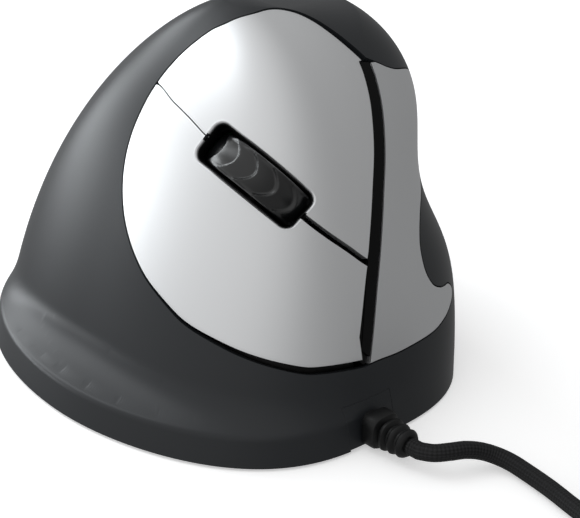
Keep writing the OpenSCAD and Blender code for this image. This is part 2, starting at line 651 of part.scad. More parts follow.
// The thumb buttons
module side_button(x0) {
    loft(pad_grid(x0, side_l, side_h), 0, side_t);
    loft(pad_grid(x0, side_l + side_gap - 0.3, side_h + 2 * side_rim + 2 * side_gap), wall + rim_clear,
        side_t);
    placed(side_frame) translate([x0, 0, 0]) rod(post_d, side_plunger_top + touch_gap,
        side_level(x0, 0, side_t - 0.5));
}
module forward_button() {
    color("#a4a8aa") side_button(side_x);
}
module back_button() {
    color("#a4a8aa") side_button(-side_x);
}

// The scroll wheel in its cradle
module scroll_tyre() {
    r = wheel_d / 2;
    color("#2b2d2f") placed(key_frame) translate([0, 0, axle_z]) rotate([90, 0, 0]) difference() {
        rotate_extrude($fn = 72) polygon([[r - tyre_t, -wheel_w / 2], [r - 0.9, -wheel_w / 2],
            [r - 0.25, -wheel_w / 2 + 0.8],
            [r, -1.2], [r, 1.2], [r - 0.25, wheel_w / 2 - 0.8], [r - 0.9, wheel_w / 2],
                [r - tyre_t, wheel_w / 2]]);
        for (i = [0:tread_n - 1]) rotate(360 * i / tread_n) translate([r + tread_d, 0, -wheel_w / 2 - 1])
            cylinder(r = 2 * tread_d, h = wheel_w + 2, $fn = 24);
    }
}
module scroll_hub() {
    web = wheel_w * 0.3;
    color("#4a4d50") placed(key_frame) translate([0, 0, axle_z]) {
        difference() {
            across(hub_d, -wheel_w / 2 + 0.3, wheel_w / 2 - 0.3);
            for (s = [-1, 1]) translate([0, s * (wheel_w / 2) , 0]) difference() {
                across(hub_d - 2.4, -wheel_w / 2 + web, wheel_w / 2 - web);
                across(axle_d + 3, -wheel_w, wheel_w);
            }
        }
        across(axle_d, -cheek_y - cheek_t - encoder_w + 0.6, cheek_y + cheek_t + 0.8);
    }
}
module encoder_rotor() {
    color("#d8d2c0") placed(key_frame) translate([0, -cheek_y - cheek_t, axle_z]) difference() {
        across(rotor_d, -encoder_w + 0.6, -0.5);
        across(axle_d + 2 * run_clear, -encoder_w, 0);
    }
}
module wheel_cradle() {
    top = axle_z + axle_d / 2 + 1;
    pad_z = plunger_top + touch_gap;
    color("#55595c") placed(key_frame) difference() {
        union() {
            for (s = [-1, 1]) translate([0, s * (cheek_y + cheek_t / 2), 0]) {
                box([-5, 5], [-cheek_t / 2, cheek_t / 2], [cradle_floor, top]);
                box([-6.5, 6.5], [-cheek_t / 2, cheek_t / 2], [cradle_floor, top - 2]);
                box([guide_x - 2.2, -6], [s < 0 ? -3.4 : -cheek_t / 2, s < 0 ? cheek_t / 2 : 3.4],
                    [-board_depth + 1.6, -board_depth + 4.4]);
            }
            box([-6.5, 6.5], [-cheek_y - cheek_t, cheek_y + cheek_t],
                [cradle_floor, cradle_floor + cheek_t]);
            box([6, middle_spot.x + 2], [-cheek_y - cheek_t, -cheek_y], [pad_z, pad_z + 1.5]);
            box([wheel_d / 2 + 1.2, middle_spot.x + 2], [-cheek_y - cheek_t, middle_spot.y + 2],
                [pad_z, pad_z + 1]);
        }
        translate([0, 0, axle_z]) across(axle_d + 2 * run_clear, -20, 20);
        for (s = [-1, 1]) translate([guide_x, s * guide_y, 0])
            rod(guide_d + 2 * run_clear, -board_depth, -board_depth + 8);
    }
}
module encoder_body() {
    h = rotor_d / 2 + 0.8;
    color("#2f5d4a") placed(key_frame) translate([0, -cheek_y - cheek_t, axle_z]) difference() {
        box([-4.4, 4.4], [-encoder_w, 0], [-h - 0.6, h - 0.9]);
        across(rotor_d + 2 * run_clear, -encoder_w + 0.4, 1);
    }
}
module guide_pins() {
    color("#a9acae") placed(key_frame) for (s = [-1, 1]) translate([guide_x, s * guide_y, 0]) {
        rod(guide_d, -board_depth - board_t, -board_depth + 6);
        rod(guide_d + 1.2, -board_depth - board_t - 0.8, -board_depth - board_t);
    }
}

// The switch board and its switches
module switch_board() {
    color("#1f5a3d") placed(key_frame) difference() {
        translate([0, 0, -board_depth - board_t]) linear_extrude(board_t) polygon(board_outline);
        box([-wheel_d / 2 - 1, wheel_d / 2 + 1], [-wheel_w / 2 - 1, wheel_w / 2 + 1],
            [-board_depth - 3, -board_depth + 1]);
        box([-7.3, 7.3], [-cheek_y - cheek_t - 0.8, cheek_y + cheek_t + 0.8],
            [-board_depth - 3, -board_depth + 1]);
        for (s = board_bosses) translate(s) rod(screw_d + 0.4, -board_depth - 3, -board_depth + 1);
        for (s = [-1, 1]) translate([guide_x, s * guide_y, 0])
            rod(guide_d + 2 * run_clear, -board_depth - 3, -board_depth + 1);
    }
}
module board_screws() {
    color("#8d9093") placed(key_frame) for (s = board_bosses) translate([s.x, s.y, -board_depth - board_t])
        screw(screw_d, 3.2, 1.1, board_t + 3.6);
}
module upper_switch() {
    color("#202224") placed(key_frame) translate(upper_spot) switch_body(-board_depth);
}
module lower_switch() {
    color("#202224") placed(key_frame) translate(lower_spot) switch_body(-board_depth);
}
module middle_switch() {
    color("#202224") placed(key_frame) translate(middle_spot) switch_body(-board_depth);
}
module upper_plunger() {
    color("#d7473a") placed(key_frame) translate(upper_spot) plunger(-board_depth);
}
module lower_plunger() {
    color("#d7473a") placed(key_frame) translate(lower_spot) plunger(-board_depth);
}
module middle_plunger() {
    color("#d7473a") placed(key_frame) translate(middle_spot) plunger(-board_depth);
}

// The side board behind the thumb buttons
module side_board() {
    color("#1f5a3d") placed(side_frame) difference() {
        translate([0, 0, -side_depth - board_t]) union() {
            rounded_plate(2 * side_l - 1, side_h + 2, 1, board_t);
            translate([0, side_boss_y / 2, 0])
                rounded_plate(2 * side_x + boss_d + 1, side_boss_y + boss_d, 1, board_t);
        }
        for (x = [-side_x, side_x]) translate([x, side_boss_y, 0])
            rod(screw_d + 0.4, -side_depth - 3, -side_depth + 1);
    }
}
module side_screws() {
    color("#8d9093") placed(side_frame) for (x = [-side_x, side_x])
        translate([x, side_boss_y, -side_depth - board_t])
        screw(screw_d, 3.2, 1.1, board_t + 3.6);
}
module forward_switch() {
    color("#202224") placed(side_frame) translate([side_x, 0, 0]) switch_body(-side_depth);
}
module back_switch() {
    color("#202224") placed(side_frame) translate([-side_x, 0, 0]) switch_body(-side_depth);
}
module forward_plunger() {
    color("#d7473a") placed(side_frame) translate([side_x, 0, 0]) plunger(-side_depth);
}
module back_plunger() {
    color("#d7473a") placed(side_frame) translate([-side_x, 0, 0]) plunger(-side_depth);
}

// The main board with its sensor
module main_board() {
    color("#1f5a3d") difference() {
        translate([main_at.x, main_at.y, main_z]) rounded_plate(main_l, main_w, 1.5, board_t);
        for (x = [-1, 1], y = [-1, 1]) translate([main_at.x + x * (main_l / 2 - 3),
            main_at.y + y * (main_w / 2 - 3), 0])
            rod(screw_d + 0.4, main_z - 1, main_z + board_t + 1);
        translate(sensor_at) rod(window_d - 2, main_z - 1, main_z + board_t + 1);
    }
}
module main_screws() {
    color("#8d9093") for (x = [-1, 1], y = [-1, 1])
        translate([main_at.x + x * (main_l / 2 - 3), main_at.y + y * (main_w / 2 - 3), main_z + board_t])
            mirror([0, 0, 1]) screw(screw_d, 3.2, 1.1, board_t + 2.4);
}
module sensor_chip() {
    color("#1b1c1d") translate([sensor_at.x, sensor_at.y, main_z + board_t]) rounded_plate(11, 9, 0.5, 3);
}
module sensor_lens() {
    color("#dfe8ea") translate(sensor_at) {
        rod(window_d + 4, base_z, base_z + 1.4);
        rod(window_d - 2.6, base_z, main_z + board_t - 0.3);
        rod(window_d - 0.6, base_z - 1.2, base_z);
    }
}
module controller_chip() {
    color("#1b1c1d") translate([main_at.x + main_l / 2 - 10, main_at.y + main_w / 2 - 11.5,
        main_z + board_t])
        rounded_plate(8, 8, 0.3, 1.2);
}
header_at = [gland_x, main_at.y - main_w / 2 + 3.2];
module cable_header() {
    color("#e6e2d6") translate([header_at.x, header_at.y, main_z + board_t]) difference() {
        rounded_plate(11, 5.4, 0.4, 5);
        translate([0, -0.8, 1.2]) rounded_plate(9, 4.2, 0.4, 5);
    }
}
ribbon_drop = 1.5;
ribbon_top = key_frame[0] + key_frame[1] * -14 + key_frame[2] * 3 - key_frame[3]
    * (board_depth + board_t + ribbon_drop);
module ribbon_cable() {
    foot = [main_at.x + 6, main_at.y + main_w / 2 - 3, main_z + board_t];
    points = [ribbon_top, ribbon_top + [2, 3, -4], [foot.x + 3, foot.y + 3, 26],
        [foot.x + 1, foot.y + 2, 16], foot + [0, 0, 0.2]];
    color("#c8cbcd") sweep(spline(points, 4), [[-4, -0.15], [4, -0.15], [4, 0.15], [-4, 0.15]]);
}

// The cable's inner end, relief and free stretches
relief_in = gland_y + 4.6;
module inner_lead() {
    points = [[gland_x, relief_in + 0.1, gland_z], [gland_x, relief_in + 2, gland_z],
        [gland_x, header_at.y - 8, gland_z + 2.6], [gland_x, header_at.y - 4, main_z + board_t + 2.6],
        [gland_x, header_at.y - 2.8, main_z + board_t + 2.8]];
    color("#3b3d3f") sweep(smooth_route(points, 2), round_section(cable_d - 1, lead_sides));
}
module strain_relief() {
    ribs = [for (i = [0:2]) let (y = 5.2 + i * 2.2, r = relief_r - 0.25 - 0.2 * i)
        each [[relief_r - 1.2, y - 0.6],
        [r, y - 0.5], [r, y + 0.9], [relief_r - 1.2, y + 1]]];
    tip = lead_points[0].y;
    color("#1e2022") translate([gland_x, gland_y, gland_z]) rotate([90, 0, 0]) rotate_extrude()
        polygon(concat([[0, -4.6], [relief_r, -4.6], [relief_r, -wall - relief_play],
            [relief_r - 1, -wall - relief_play], [relief_r - 1, relief_play],
            [relief_r - 0.3, relief_play], [relief_r, 1], [relief_r, 3.8], [relief_r - 0.5, 4.2]], ribs,
            [[cable_d / 2 + 0.7, gland_y - tip], [0, gland_y - tip]]));
}
module cable_lead() {
    color("#2c2e30") sweep(smooth_route(lead_points, 3), round_section(cable_d, lead_sides));
}
coil_start = lead_points[len(lead_points) - 1];
coil_mid = [coil_start.x + coil_out, coil_start.y];
function coil_point(a) = let (
    half = coil_turns * 360,
    r = coil_in + coil_pitch * abs(a - half) / 360,
    climb = smooth((a - half) / 180 + 0.5))
    [coil_mid.x + r * cos(180 + a), coil_mid.y + r * sin(180 + a), coil_start.z + coil_pitch * climb];
coil_line = [for (i = [0:2 * coil_turns * coil_rings]) coil_point(360 * i / coil_rings)];
module cable_coil() {
    line = concat([coil_start + [0, 0, 0]], [for (i = [1:len(coil_line) - 2]) coil_line[i]],
        [coil_line[len(coil_line) - 1]]);
    gaps = [for (i = [0:len(line) - 1], j = [i + coil_rings / 2:1:min(len(line) - 1, i + 2.2 * coil_rings)])
        norm(line[i] - line[j])];
    echo(coil_gap = min(gaps) - cable_d);
    color("#2c2e30") sweep(line, round_section(cable_d, coil_sides));
}
module cable_tail() {
    color("#2c2e30") sweep(smooth_route(tail_points, 3), round_section(cable_d, lead_sides));
}
module coil_tie() {
    low = coil_start.z - cable_d / 2 - 0.3;
    high = coil_start.z + coil_pitch + cable_d / 2 + 0.3;
    near = coil_in - cable_d / 2 - 1;
    far = coil_out + cable_d / 2 + 0.3;
    color("#141516") translate([coil_mid.x, coil_mid.y, 0]) difference() {
        box([near - tie_t, far + tie_t], [-tie_w / 2, tie_w / 2], [low - tie_t, high + tie_t]);
        box([near, far], [-tie_w, tie_w], [low, high]);
    }
}

// The plug at the cable's end
plug_at = tail_points[len(tail_points) - 1];
module plug_overmould() {
    color("#1c1e1f") translate([plug_at.x, plug_at.y, 0]) {
        translate([overmould_l / 2 + 4, 0, 0]) rounded_plate(overmould_l - 8, 15, 2.5, 2 * plug_at.z);
        translate([0, 0, plug_at.z]) rotate([0, 90, 0])
            cylinder(d1 = cable_d + 1.4, d2 = 2 * plug_at.z - 0.4, h = 8.5);
    }
}
module plug_shell() {
    color("#b8bcbf") translate([plug_at.x + overmould_l, plug_at.y, plug_at.z]) difference() {
        box([0, 18.8], [-6, 6], [-2.25, 2.25]);
        box([1, 20], [-5.7, 5.7], [-1.95, 1.95]);
        for (s = [-1, 1]) box([9.6, 12], [s * 2.9 - 1.2, s * 2.9 + 1.2], [1, 3]);
    }
}
module plug_tongue() {
    color("#e9eaea") translate([plug_at.x + overmould_l, plug_at.y, plug_at.z])
        box([1, 18], [-5.6, 5.6], [-1.9, 0]);
}
module plug_contacts() {
    color("#c9a64a") translate([plug_at.x + overmould_l, plug_at.y, plug_at.z])
        for (y = [-3.5, -1, 1, 3.5]) box([8, 17], [y - 0.5, y + 0.5], [0, 0.25]);
}

palm_shell();
thumb_shell();
base_plate();
glide_feet();
base_screws();
key_tray();
hinge_pins();
thumb_panel();
cable_gland();
upper_button();
lower_button();
forward_button();
back_button();
scroll_tyre();
scroll_hub();
encoder_rotor();
wheel_cradle();
encoder_body();
guide_pins();
switch_board();
board_screws();
upper_switch();
lower_switch();
middle_switch();
upper_plunger();
lower_plunger();
middle_plunger();
side_board();
side_screws();
forward_switch();
back_switch();
forward_plunger();
back_plunger();
main_board();
main_screws();
sensor_chip();
sensor_lens();
controller_chip();
cable_header();
ribbon_cable();
inner_lead();
strain_relief();
cable_lead();
cable_coil();
cable_tail();
coil_tie();
plug_overmould();
plug_shell();
plug_tongue();
plug_contacts();
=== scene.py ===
# %% [markdown]
# # An upright mouse, dressed over its CAD frame
# The CAD model gives every piece its place and its movement. This lesson adds what the eye looks for:
# skins without facets, rounded edges, a tread, a braid and the finishes. Everything is in metres, in the
# CAD frame, with the cable end towards -Y and the palm side towards -X.

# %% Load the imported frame
import json
import math

import bpy
import numpy as np
from mathutils import Matrix, Vector
from mathutils.geometry import delaunay_2d_cdt


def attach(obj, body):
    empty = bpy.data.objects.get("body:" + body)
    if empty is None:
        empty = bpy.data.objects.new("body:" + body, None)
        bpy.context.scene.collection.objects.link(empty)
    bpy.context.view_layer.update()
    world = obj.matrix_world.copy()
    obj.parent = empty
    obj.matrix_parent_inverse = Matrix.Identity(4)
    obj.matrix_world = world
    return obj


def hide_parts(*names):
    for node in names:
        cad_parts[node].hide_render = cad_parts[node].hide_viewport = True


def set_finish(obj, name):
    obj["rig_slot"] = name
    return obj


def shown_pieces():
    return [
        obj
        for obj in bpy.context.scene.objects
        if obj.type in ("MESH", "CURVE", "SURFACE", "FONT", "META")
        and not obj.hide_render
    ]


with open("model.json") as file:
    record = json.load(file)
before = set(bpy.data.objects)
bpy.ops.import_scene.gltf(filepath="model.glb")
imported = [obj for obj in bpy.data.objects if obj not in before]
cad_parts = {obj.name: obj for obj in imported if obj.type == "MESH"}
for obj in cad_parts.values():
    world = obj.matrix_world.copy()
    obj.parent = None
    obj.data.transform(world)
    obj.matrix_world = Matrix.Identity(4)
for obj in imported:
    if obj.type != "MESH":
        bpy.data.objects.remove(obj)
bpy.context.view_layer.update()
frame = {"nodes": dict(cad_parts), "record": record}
nodes = frame["nodes"]
MM = 0.001

# %% [markdown]
# ## The camera
# The photograph was taken with a long lens from the front left, looking down by about 26 degrees. A long
# lens keeps the upright lines nearly parallel. The aim is turned a little to the right and down, so that
# the mouse runs out of the picture at the top and the left as it does there, with no lens shift.

# %% Camera
IMAGE_W, IMAGE_H = 580, 518
FOCAL_PX, SENSOR_MM = 2031.6, 36
EYE_MM = Vector((-249.4, -289.6, 224.9))
AZIMUTH, ELEVATION = math.radians(-40), math.radians(26.36)
AIM_PX = Vector((202.8, 193.2))
level = math.cos(ELEVATION)
back = Vector((math.sin(AZIMUTH) * level, -math.cos(AZIMUTH) * level, math.sin(ELEVATION)))
right = Vector((math.cos(AZIMUTH), math.sin(AZIMUTH), 0))
up = back.cross(right)
off_right, off_down = (IMAGE_W / 2 - AIM_PX.x) / FOCAL_PX, (IMAGE_H / 2 - AIM_PX.y) / FOCAL_PX
aim = -back + right * off_right - up * off_down
aim.normalize()
side = (right - right.dot(aim) * aim).normalized()
lens = bpy.data.cameras.new("photo_camera")
lens.sensor_width = SENSOR_MM
lens.lens = SENSOR_MM * FOCAL_PX / IMAGE_W
lens.clip_start, lens.clip_end = 0.01, 20
camera = bpy.data.objects.new("photo_camera", lens)
basis = Matrix((side, side.cross(aim), -aim)).transposed()
camera.matrix_world = Matrix.Translation(EYE_MM * MM) @ basis.to_4x4()
bpy.context.scene.collection.objects.link(camera)
bpy.context.scene.camera = camera
print("lens mm:", round(lens.lens, 1))

# %% [markdown]
# ## The form
# The body is one smooth surface, written as a formula: each side has a fullness from the crown to the foot,
# the plan is a rounded square, and a lip for the little finger and a hollow for the thumb are added. It is
# the same formula as in the CAD source, so pieces made from it lie exactly where the solids are. A point of
# the skin is named by a chart: its bearing round the crown and its angle down from the crown, in degrees.

# %% The skin as a formula
BODY_H, LEAN_X, LEAN_Y, SQUARENESS = 74, 10, 4, 2.7
PALM = 39 * np.array([0.79, 0.83, 0.87, 0.905, 1])
THUMB = 39 * np.array([2.3, 1.77, 1.32, 1.09, 1])
FRONT = 56 * np.array([0.87, 0.875, 0.885, 0.91, 1])
REAR = 45 * np.array([0.42, 0.7, 0.9, 0.99, 1])
LIP_REACH, LIP_Z, LIP_TOP, LIP_BEARING, LIP_SPREAD, LIP_POWER = 8, 6.5, 13.5, 190, 86, 2.6
HOLLOW_D, HOLLOW_Z, HOLLOW_S, HOLLOW_BEARING, HOLLOW_SPREAD = 10.5, 38, 12, -10, 80
WALL, FOOT_T = 2.2, 0.6


def smooth(x):
    t = np.clip(x, 0, 1)
    return t * t * (3 - 2 * t)


def turn_from(a, b):
    return np.abs((a - b + 540) % 360 - 180)


def fullness(form, t):
    s = 1 - t
    upper = form[0] * s**4 + 4 * form[1] * t * s**3 + 6 * form[2] * t**2 * s**2
    return upper + 4 * form[3] * t**3 * s + form[4] * t**4


def raw_skin(q):
    q = np.asarray(q, float)
    c = np.hypot(q[..., 0], q[..., 1])
    b = np.degrees(np.arctan2(q[..., 1], q[..., 0]))
    cb, sb, t = np.cos(np.radians(b)), np.sin(np.radians(b)), c / 90
    z = BODY_H * np.cos(np.radians(c))
    ex = np.where(cb < 0, fullness(PALM, t), fullness(THUMB, t))
    ey = np.where(sb < 0, fullness(FRONT, t), fullness(REAR, t))
    plan = (np.abs(cb / ex) ** SQUARENESS + np.abs(sb / ey) ** SQUARENESS) ** (-1 / SQUARENESS)
    rise = np.where(z <= LIP_Z, 1, np.clip(1 - (z - LIP_Z) / (LIP_TOP - LIP_Z), 0, 1) ** LIP_POWER)
    lip = LIP_REACH * smooth(1 - turn_from(b, LIP_BEARING) / LIP_SPREAD) * rise
    hollow = HOLLOW_D * smooth(1 - turn_from(b, HOLLOW_BEARING) / HOLLOW_SPREAD)
    hollow = hollow * np.exp(-(((z - HOLLOW_Z) / HOLLOW_S) ** 2))
    r = np.sin(np.radians(c)) * plan + lip - hollow
    h = z / BODY_H
    return np.stack([LEAN_X * h + r * cb, LEAN_Y * h + r * sb, z], axis=-1)


def chart(p):
    p = np.asarray(p, float)
    a = np.radians(p[..., 0])
    return p[..., 1:2] * np.stack([np.cos(a), np.sin(a)], axis=-1)


def colat(z):
    return math.degrees(math.acos(z / BODY_H))


LIP_C, FOOT_C = colat(LIP_Z), colat(FOOT_T)
sample_c = [*range(20, 90, 5), LIP_C, FOOT_C]
samples = raw_skin(chart([[b, c] for b in range(0, 360, 5) for c in sample_c]))
MIDDLE = np.append((samples[:, :2].min(0) + samples[:, :2].max(0)) / 2, 0)


def skin(q):
    return raw_skin(q) - MIDDLE


def normal(q, probe=0.4):
    du, dv = np.array([probe, 0]), np.array([0, probe])
    n = np.cross(skin(q + du) - skin(q - du), skin(q + dv) - skin(q - dv))
    return n / np.linalg.norm(n, axis=-1, keepdims=True)


def below(q, depth):
    return skin(q) - np.asarray(depth)[..., None] * normal(q)


print("body middle taken off:", np.round(MIDDLE, 2))

# %% [markdown]
# ## Lines on the skin
# The edges of the two finger buttons, the black spine and the thumb panel are smooth curves through a few
# chart points. A curve can be spaced evenly again and shifted sideways by a distance on the skin, which is
# how every gap between neighbours is made.

# %% Curves on the chart
def spline(knots, n=14):
    k = np.asarray(knots, float)
    m = len(k) - 1
    out = []
    for i in range(m):
        a, b, c, d = k[max(0, i - 1)], k[i], k[i + 1], k[min(m, i + 2)]
        bend, twist = 2 * a - 5 * b + 4 * c - d, 3 * b - a - 3 * c + d
        for t in np.arange(n) / n:
            out.append((2 * b + (c - a) * t + bend * t**2 + twist * t**3) / 2)
    return np.array(out + [k[m]])


def even(curve, n, start=0.0, end=1.0):
    run = np.concatenate([[0], np.cumsum(np.linalg.norm(np.diff(curve, axis=0), axis=1))])
    at = run[-1] * np.linspace(start, end, n + 1)
    return np.stack([np.interp(at, run, curve[:, k]) for k in range(curve.shape[1])], axis=-1)


def shift_by(curve, gap):
    m = len(curve) - 1
    ahead = curve[np.minimum(np.arange(m + 1) + 1, m)] - curve[np.maximum(np.arange(m + 1) - 1, 0)]
    t = ahead / np.linalg.norm(ahead, axis=1, keepdims=True)
    w = np.stack([-t[:, 1], t[:, 0]], axis=-1)
    probe = 0.3
    along = skin(curve + probe * t) - skin(curve - probe * t)
    along /= np.linalg.norm(along, axis=1, keepdims=True)
    across = (skin(curve + probe * w) - skin(curve - probe * w)) / (2 * probe)
    slip = np.linalg.norm(across - (across * along).sum(1, keepdims=True) * along, axis=1)
    return curve + w * (np.asarray(gap) / slip)[:, None]


def ruled(a, b, rows):
    t = np.linspace(0, 1, rows + 1)[:, None, None]
    return a[None] * (1 - t) + b[None] * t


def share_near(curve, p, steps=200):
    return np.linalg.norm(even(curve, steps) - p, axis=1).argmin() / steps


PALM_EDGE = [
    [263.3, 78.1, 264], [258.7, 77.7, 259], [252.8, 77.3, 252.5], [247.5, 76.8, 247], [239.7, 75.5, 240],
    [231.5, 74.1, 232], [222, 72.5, 222.5], [214.4, 70.7, 214], [204.4, 67.9, 203], [195.6, 64.6, 192],
    [188, 60.8, 181], [182, 56.5, 171], [177.5, 51.7, 162], [174.8, 46.3, 153], [174.2, 40, 143],
    [175.5, 35.2, 136], [179.3, 29.6, 127.5], [188.7, 22.8, 117.5], [198.5, 18.4, 111.5], [216, 14, 106],
    [256, 9, 97], [290, 9.3, 90], [300, 11, 86], [304, 13.5, 82], [304.6, 17, 77], [304, 21, 72],
    [303.6, 25.6, 67], [303.6, 30, 62],
]
THUMB_EDGE = [
    [263.3, 78.1, 264], [272, 78.2, 271], [279, 78.2, 277], [285.6, 78.2, 282], [291, 77.8, 286.5],
    [295.3, 77.2, 290], [298.6, 76.4, 295], [299.4, 75.1, 304], [297, 73.5, 318], [294.2, 73, 324],
    [291.8, 72.5, 326.5], [289.1, 71.3, 328], [287.5, 69.1, 329.5], [287.5, 66.6, 331], [288.9, 64.1, 333],
    [293.6, 61, 335.5], [301.9, 58.4, 338], [310, 55.5, 341], [320, 52.5, 345.5], [326.5, 48.5, 352],
    [328.5, 44.5, 364], [327.5, 41, 380], [323, 38.4, 394], [314, 35.6, 408], [310, 34, 413],
    [307.2, 32.2, 417.5], [303.6, 30, 422],
]
SPINE_LINE = [
    [263, 77.4], [265, 72.4], [267.5, 67], [271.5, 60.5], [277, 53.5], [283.5, 47], [291, 39.8],
    [297.5, 33.8], [301.8, 29.8],
]
SPLIT_LINE = [
    [177.3, 35.9], [191, 37.4], [200.5, 38.5], [211.1, 40.1], [219, 41.8], [228.2, 43.7], [236.9, 46.4],
    [244.2, 49.6], [250.5, 53.4], [257.5, 57.3], [265, 61.5], [268.6, 63.5],
]


def with_rim(knots):
    k = np.asarray(knots, float)
    return np.concatenate([chart(k[:, :2]), k[:, 2:]], axis=1)


palm_curve = spline(with_rim(PALM_EDGE))
thumb_curve = spline(with_rim(THUMB_EDGE))
spine_curve = spline(chart(SPINE_LINE))
split_curve = spline(chart(SPLIT_LINE))
SPLIT_SHARE = share_near(spine_curve, split_curve[-1])
SPLIT_PALM = share_near(palm_curve[:, :2], split_curve[0])
print("split meets the spine at", SPLIT_SHARE, "and the palm edge at", SPLIT_PALM)

# %% [markdown]
# ## From points to pieces
# Most pieces are sheets of one thickness: an outer face, an inner face and the walls between. A helper turns
# a grid of points into such a closed mesh. A bevel by angle then rounds the rim and leaves the smooth face
# alone, which is what a moulded edge looks like.

# %% Helpers for meshes
SHARP = math.radians(40)


def link(name, mesh, body, slot):
    piece = bpy.data.objects.new(name, mesh)
    bpy.context.scene.collection.objects.link(piece)
    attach(piece, body)
    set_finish(piece, slot)
    return piece


def shade_smooth(mesh):
    mesh.polygons.foreach_set("use_smooth", [True] * len(mesh.polygons))
    mesh.set_sharp_from_angle(angle=SHARP)


def mesh_from(name, points_mm, faces):
    mesh = bpy.data.meshes.new(name)
    mesh.from_pydata((np.asarray(points_mm).reshape(-1, 3) * MM).tolist(), [], faces)
    mesh.update()
    shade_smooth(mesh)
    return mesh


def grid_faces(n, m, base=0, wrap=False, flip=False):
    faces = []
    for r in range(n - 1):
        for j in range(m if wrap else m - 1):
            a, b = base + r * m + j, base + r * m + (j + 1) % m
            faces.append((a, b, b + m, a + m) if flip else (a, a + m, b + m, b))
    return faces


def ring_area(ring):
    nxt = np.roll(ring, -1, axis=0)
    return (ring[:, 0] * nxt[:, 1] - ring[:, 1] * nxt[:, 0]).sum() / 2


def round_grid(grid):
    return np.concatenate([grid[0], grid[1:, -1], grid[-1, -2::-1], grid[-2:0:-1, 0]])


def closed_sheet(name, outer, inner, flip, body, slot):
    n, m = outer.shape[:2]
    f = n * m
    faces = grid_faces(n, m, 0, flip=flip) + grid_faces(n, m, f, flip=not flip)
    ring = round_grid(np.arange(f).reshape(n, m)).tolist()
    for a, b in zip(ring, ring[1:] + ring[:1]):
        faces.append((a, f + a, f + b, b) if flip else (a, b, f + b, f + a))
    points = np.concatenate([outer.reshape(-1, 3), inner.reshape(-1, 3)])
    return link(name, mesh_from(name, points, faces), body, slot)


def rounded(piece, width_mm, segments=3, angle=38):
    bevel = piece.modifiers.new("moulded_edge", "BEVEL")
    bevel.width = width_mm * MM
    bevel.segments = segments
    bevel.limit_method = "ANGLE"
    bevel.angle_limit = math.radians(angle)
    bevel.use_clamp_overlap = True
    return piece


def loft(name, grid, outer_depth, inner_depth, body, slot):
    flip = ring_area(round_grid(grid)) > 0
    return closed_sheet(name, below(grid, outer_depth), below(grid, inner_depth), flip, body, slot)


def tube_rings(path, section):
    path = np.asarray(path, float)
    ahead = np.gradient(path, axis=0)
    t = ahead / np.linalg.norm(ahead, axis=1, keepdims=True)
    s = np.cross(t, [0, 0, 1.0])
    s /= np.linalg.norm(s, axis=1, keepdims=True)
    u = np.cross(s, t)
    return path[:, None] + s[:, None] * section[None, :, :1] + u[:, None] * section[None, :, 1:]


print("helpers ready")

# %% [markdown]
# ## Sheets with any outline
# The thumb panel has a hook and the shell fills the notch beside it, so neither can be ruled between two
# edges. For these the outline is drawn on the chart and filled with triangles. Points spread over the inside
# lie exactly on the skin, so the face stays as smooth as the formula.

# %% Helpers for outlines
def inside_ring(ring, points):
    a, b = ring, np.roll(ring, -1, axis=0)
    x, y = points[:, :1], points[:, 1:]
    crosses = (a[:, 1] > y) != (b[:, 1] > y)
    drop = np.where(b[:, 1] == a[:, 1], 1, b[:, 1] - a[:, 1])
    return (crosses & (x < a[:, 0] + (y - a[:, 1]) * (b[:, 0] - a[:, 0]) / drop)).sum(1) % 2 == 1


def fill_ring(ring, spread, clear):
    far = np.linalg.norm(spread[:, None] - ring[None], axis=2).min(1) > clear
    points = np.concatenate([ring, spread[far & inside_ring(ring, spread)]])
    found = delaunay_2d_cdt([Vector(p) for p in points], [], [list(range(len(ring)))], 1, 1e-7)
    name = [source[0] for source in found[3]]
    return points, [tuple(name[v] for v in face) for face in found[2]]


def thicken(faces, points, edge, open_edge=()):
    faces = faces + [tuple(points + v for v in reversed(face)) for face in faces]
    for i in range(edge):
        k = (i + 1) % edge
        if not (i in open_edge and k in open_edge):
            faces.append((k, i, points + i, points + k))
    return faces


def spread_over(step, low, high):
    rows = []
    for k, y in enumerate(np.arange(low[1], high[1], step * 0.866)):
        x = np.arange(low[0] + k % 2 * step / 2, high[0], step)
        rows.append(np.column_stack([x, np.full(len(x), y)]))
    return np.concatenate(rows)


print("outline helpers ready")

# %% [markdown]
# ## The cable
# The cable is a limp braided lead, 3.6 mm thick. It leaves the rubber relief, lifts a little, turns and lies
# along the desk out of the picture. The rest of its length is a tied coil just outside the view, and it ends
# in a plug. One swept tube keeps the braid unbroken. The points are those of the CAD route.

# %% Cable route
CABLE_D, COIL_TURNS, COIL_PITCH, COIL_IN = 3.6, 5, 4.1, 11.5
COIL_STEPS, ROUTE_STEPS = 48, 8
LEAD = [
    [-4, -60.5, 4.4], [-4, -63, 4.5], [-2.7, -65.7, 4.8], [-0.2, -67.6, 5], [2.8, -68.9, 4.8],
    [5.7, -70.3, 4], [8, -72.3, 3], [9.3, -75.3, 2.3], [9.5, -79.5, 1.9], [8.9, -86, 1.8], [7.6, -93.5, 1.8],
    [6.6, -101, 1.8], [6.1, -109, 2.4], [6, -115, 2.8], [6, -118.4, 2.8], [6, -122, 2.8],
]
TAIL = [
    [6, -122, 6.9], [6, -126, 6.9], [6, -133, 6.7], [7, -141, 5.4], [11.5, -149.5, 4], [19, -156.5, 3.6],
    [27, -160.4, 4], [32, -161, 4], [36, -161, 4],
]
coil_out = COIL_IN + COIL_TURNS * COIL_PITCH
start = np.array(LEAD[-1], float)
turned = np.radians(np.arange(0, 2 * COIL_TURNS * COIL_STEPS + 1) * 360 / COIL_STEPS)
half_way = COIL_TURNS * 2 * math.pi
radius = COIL_IN + COIL_PITCH * np.abs(turned - half_way) / (2 * math.pi)
climb = smooth((turned - half_way) / math.pi + 0.5)
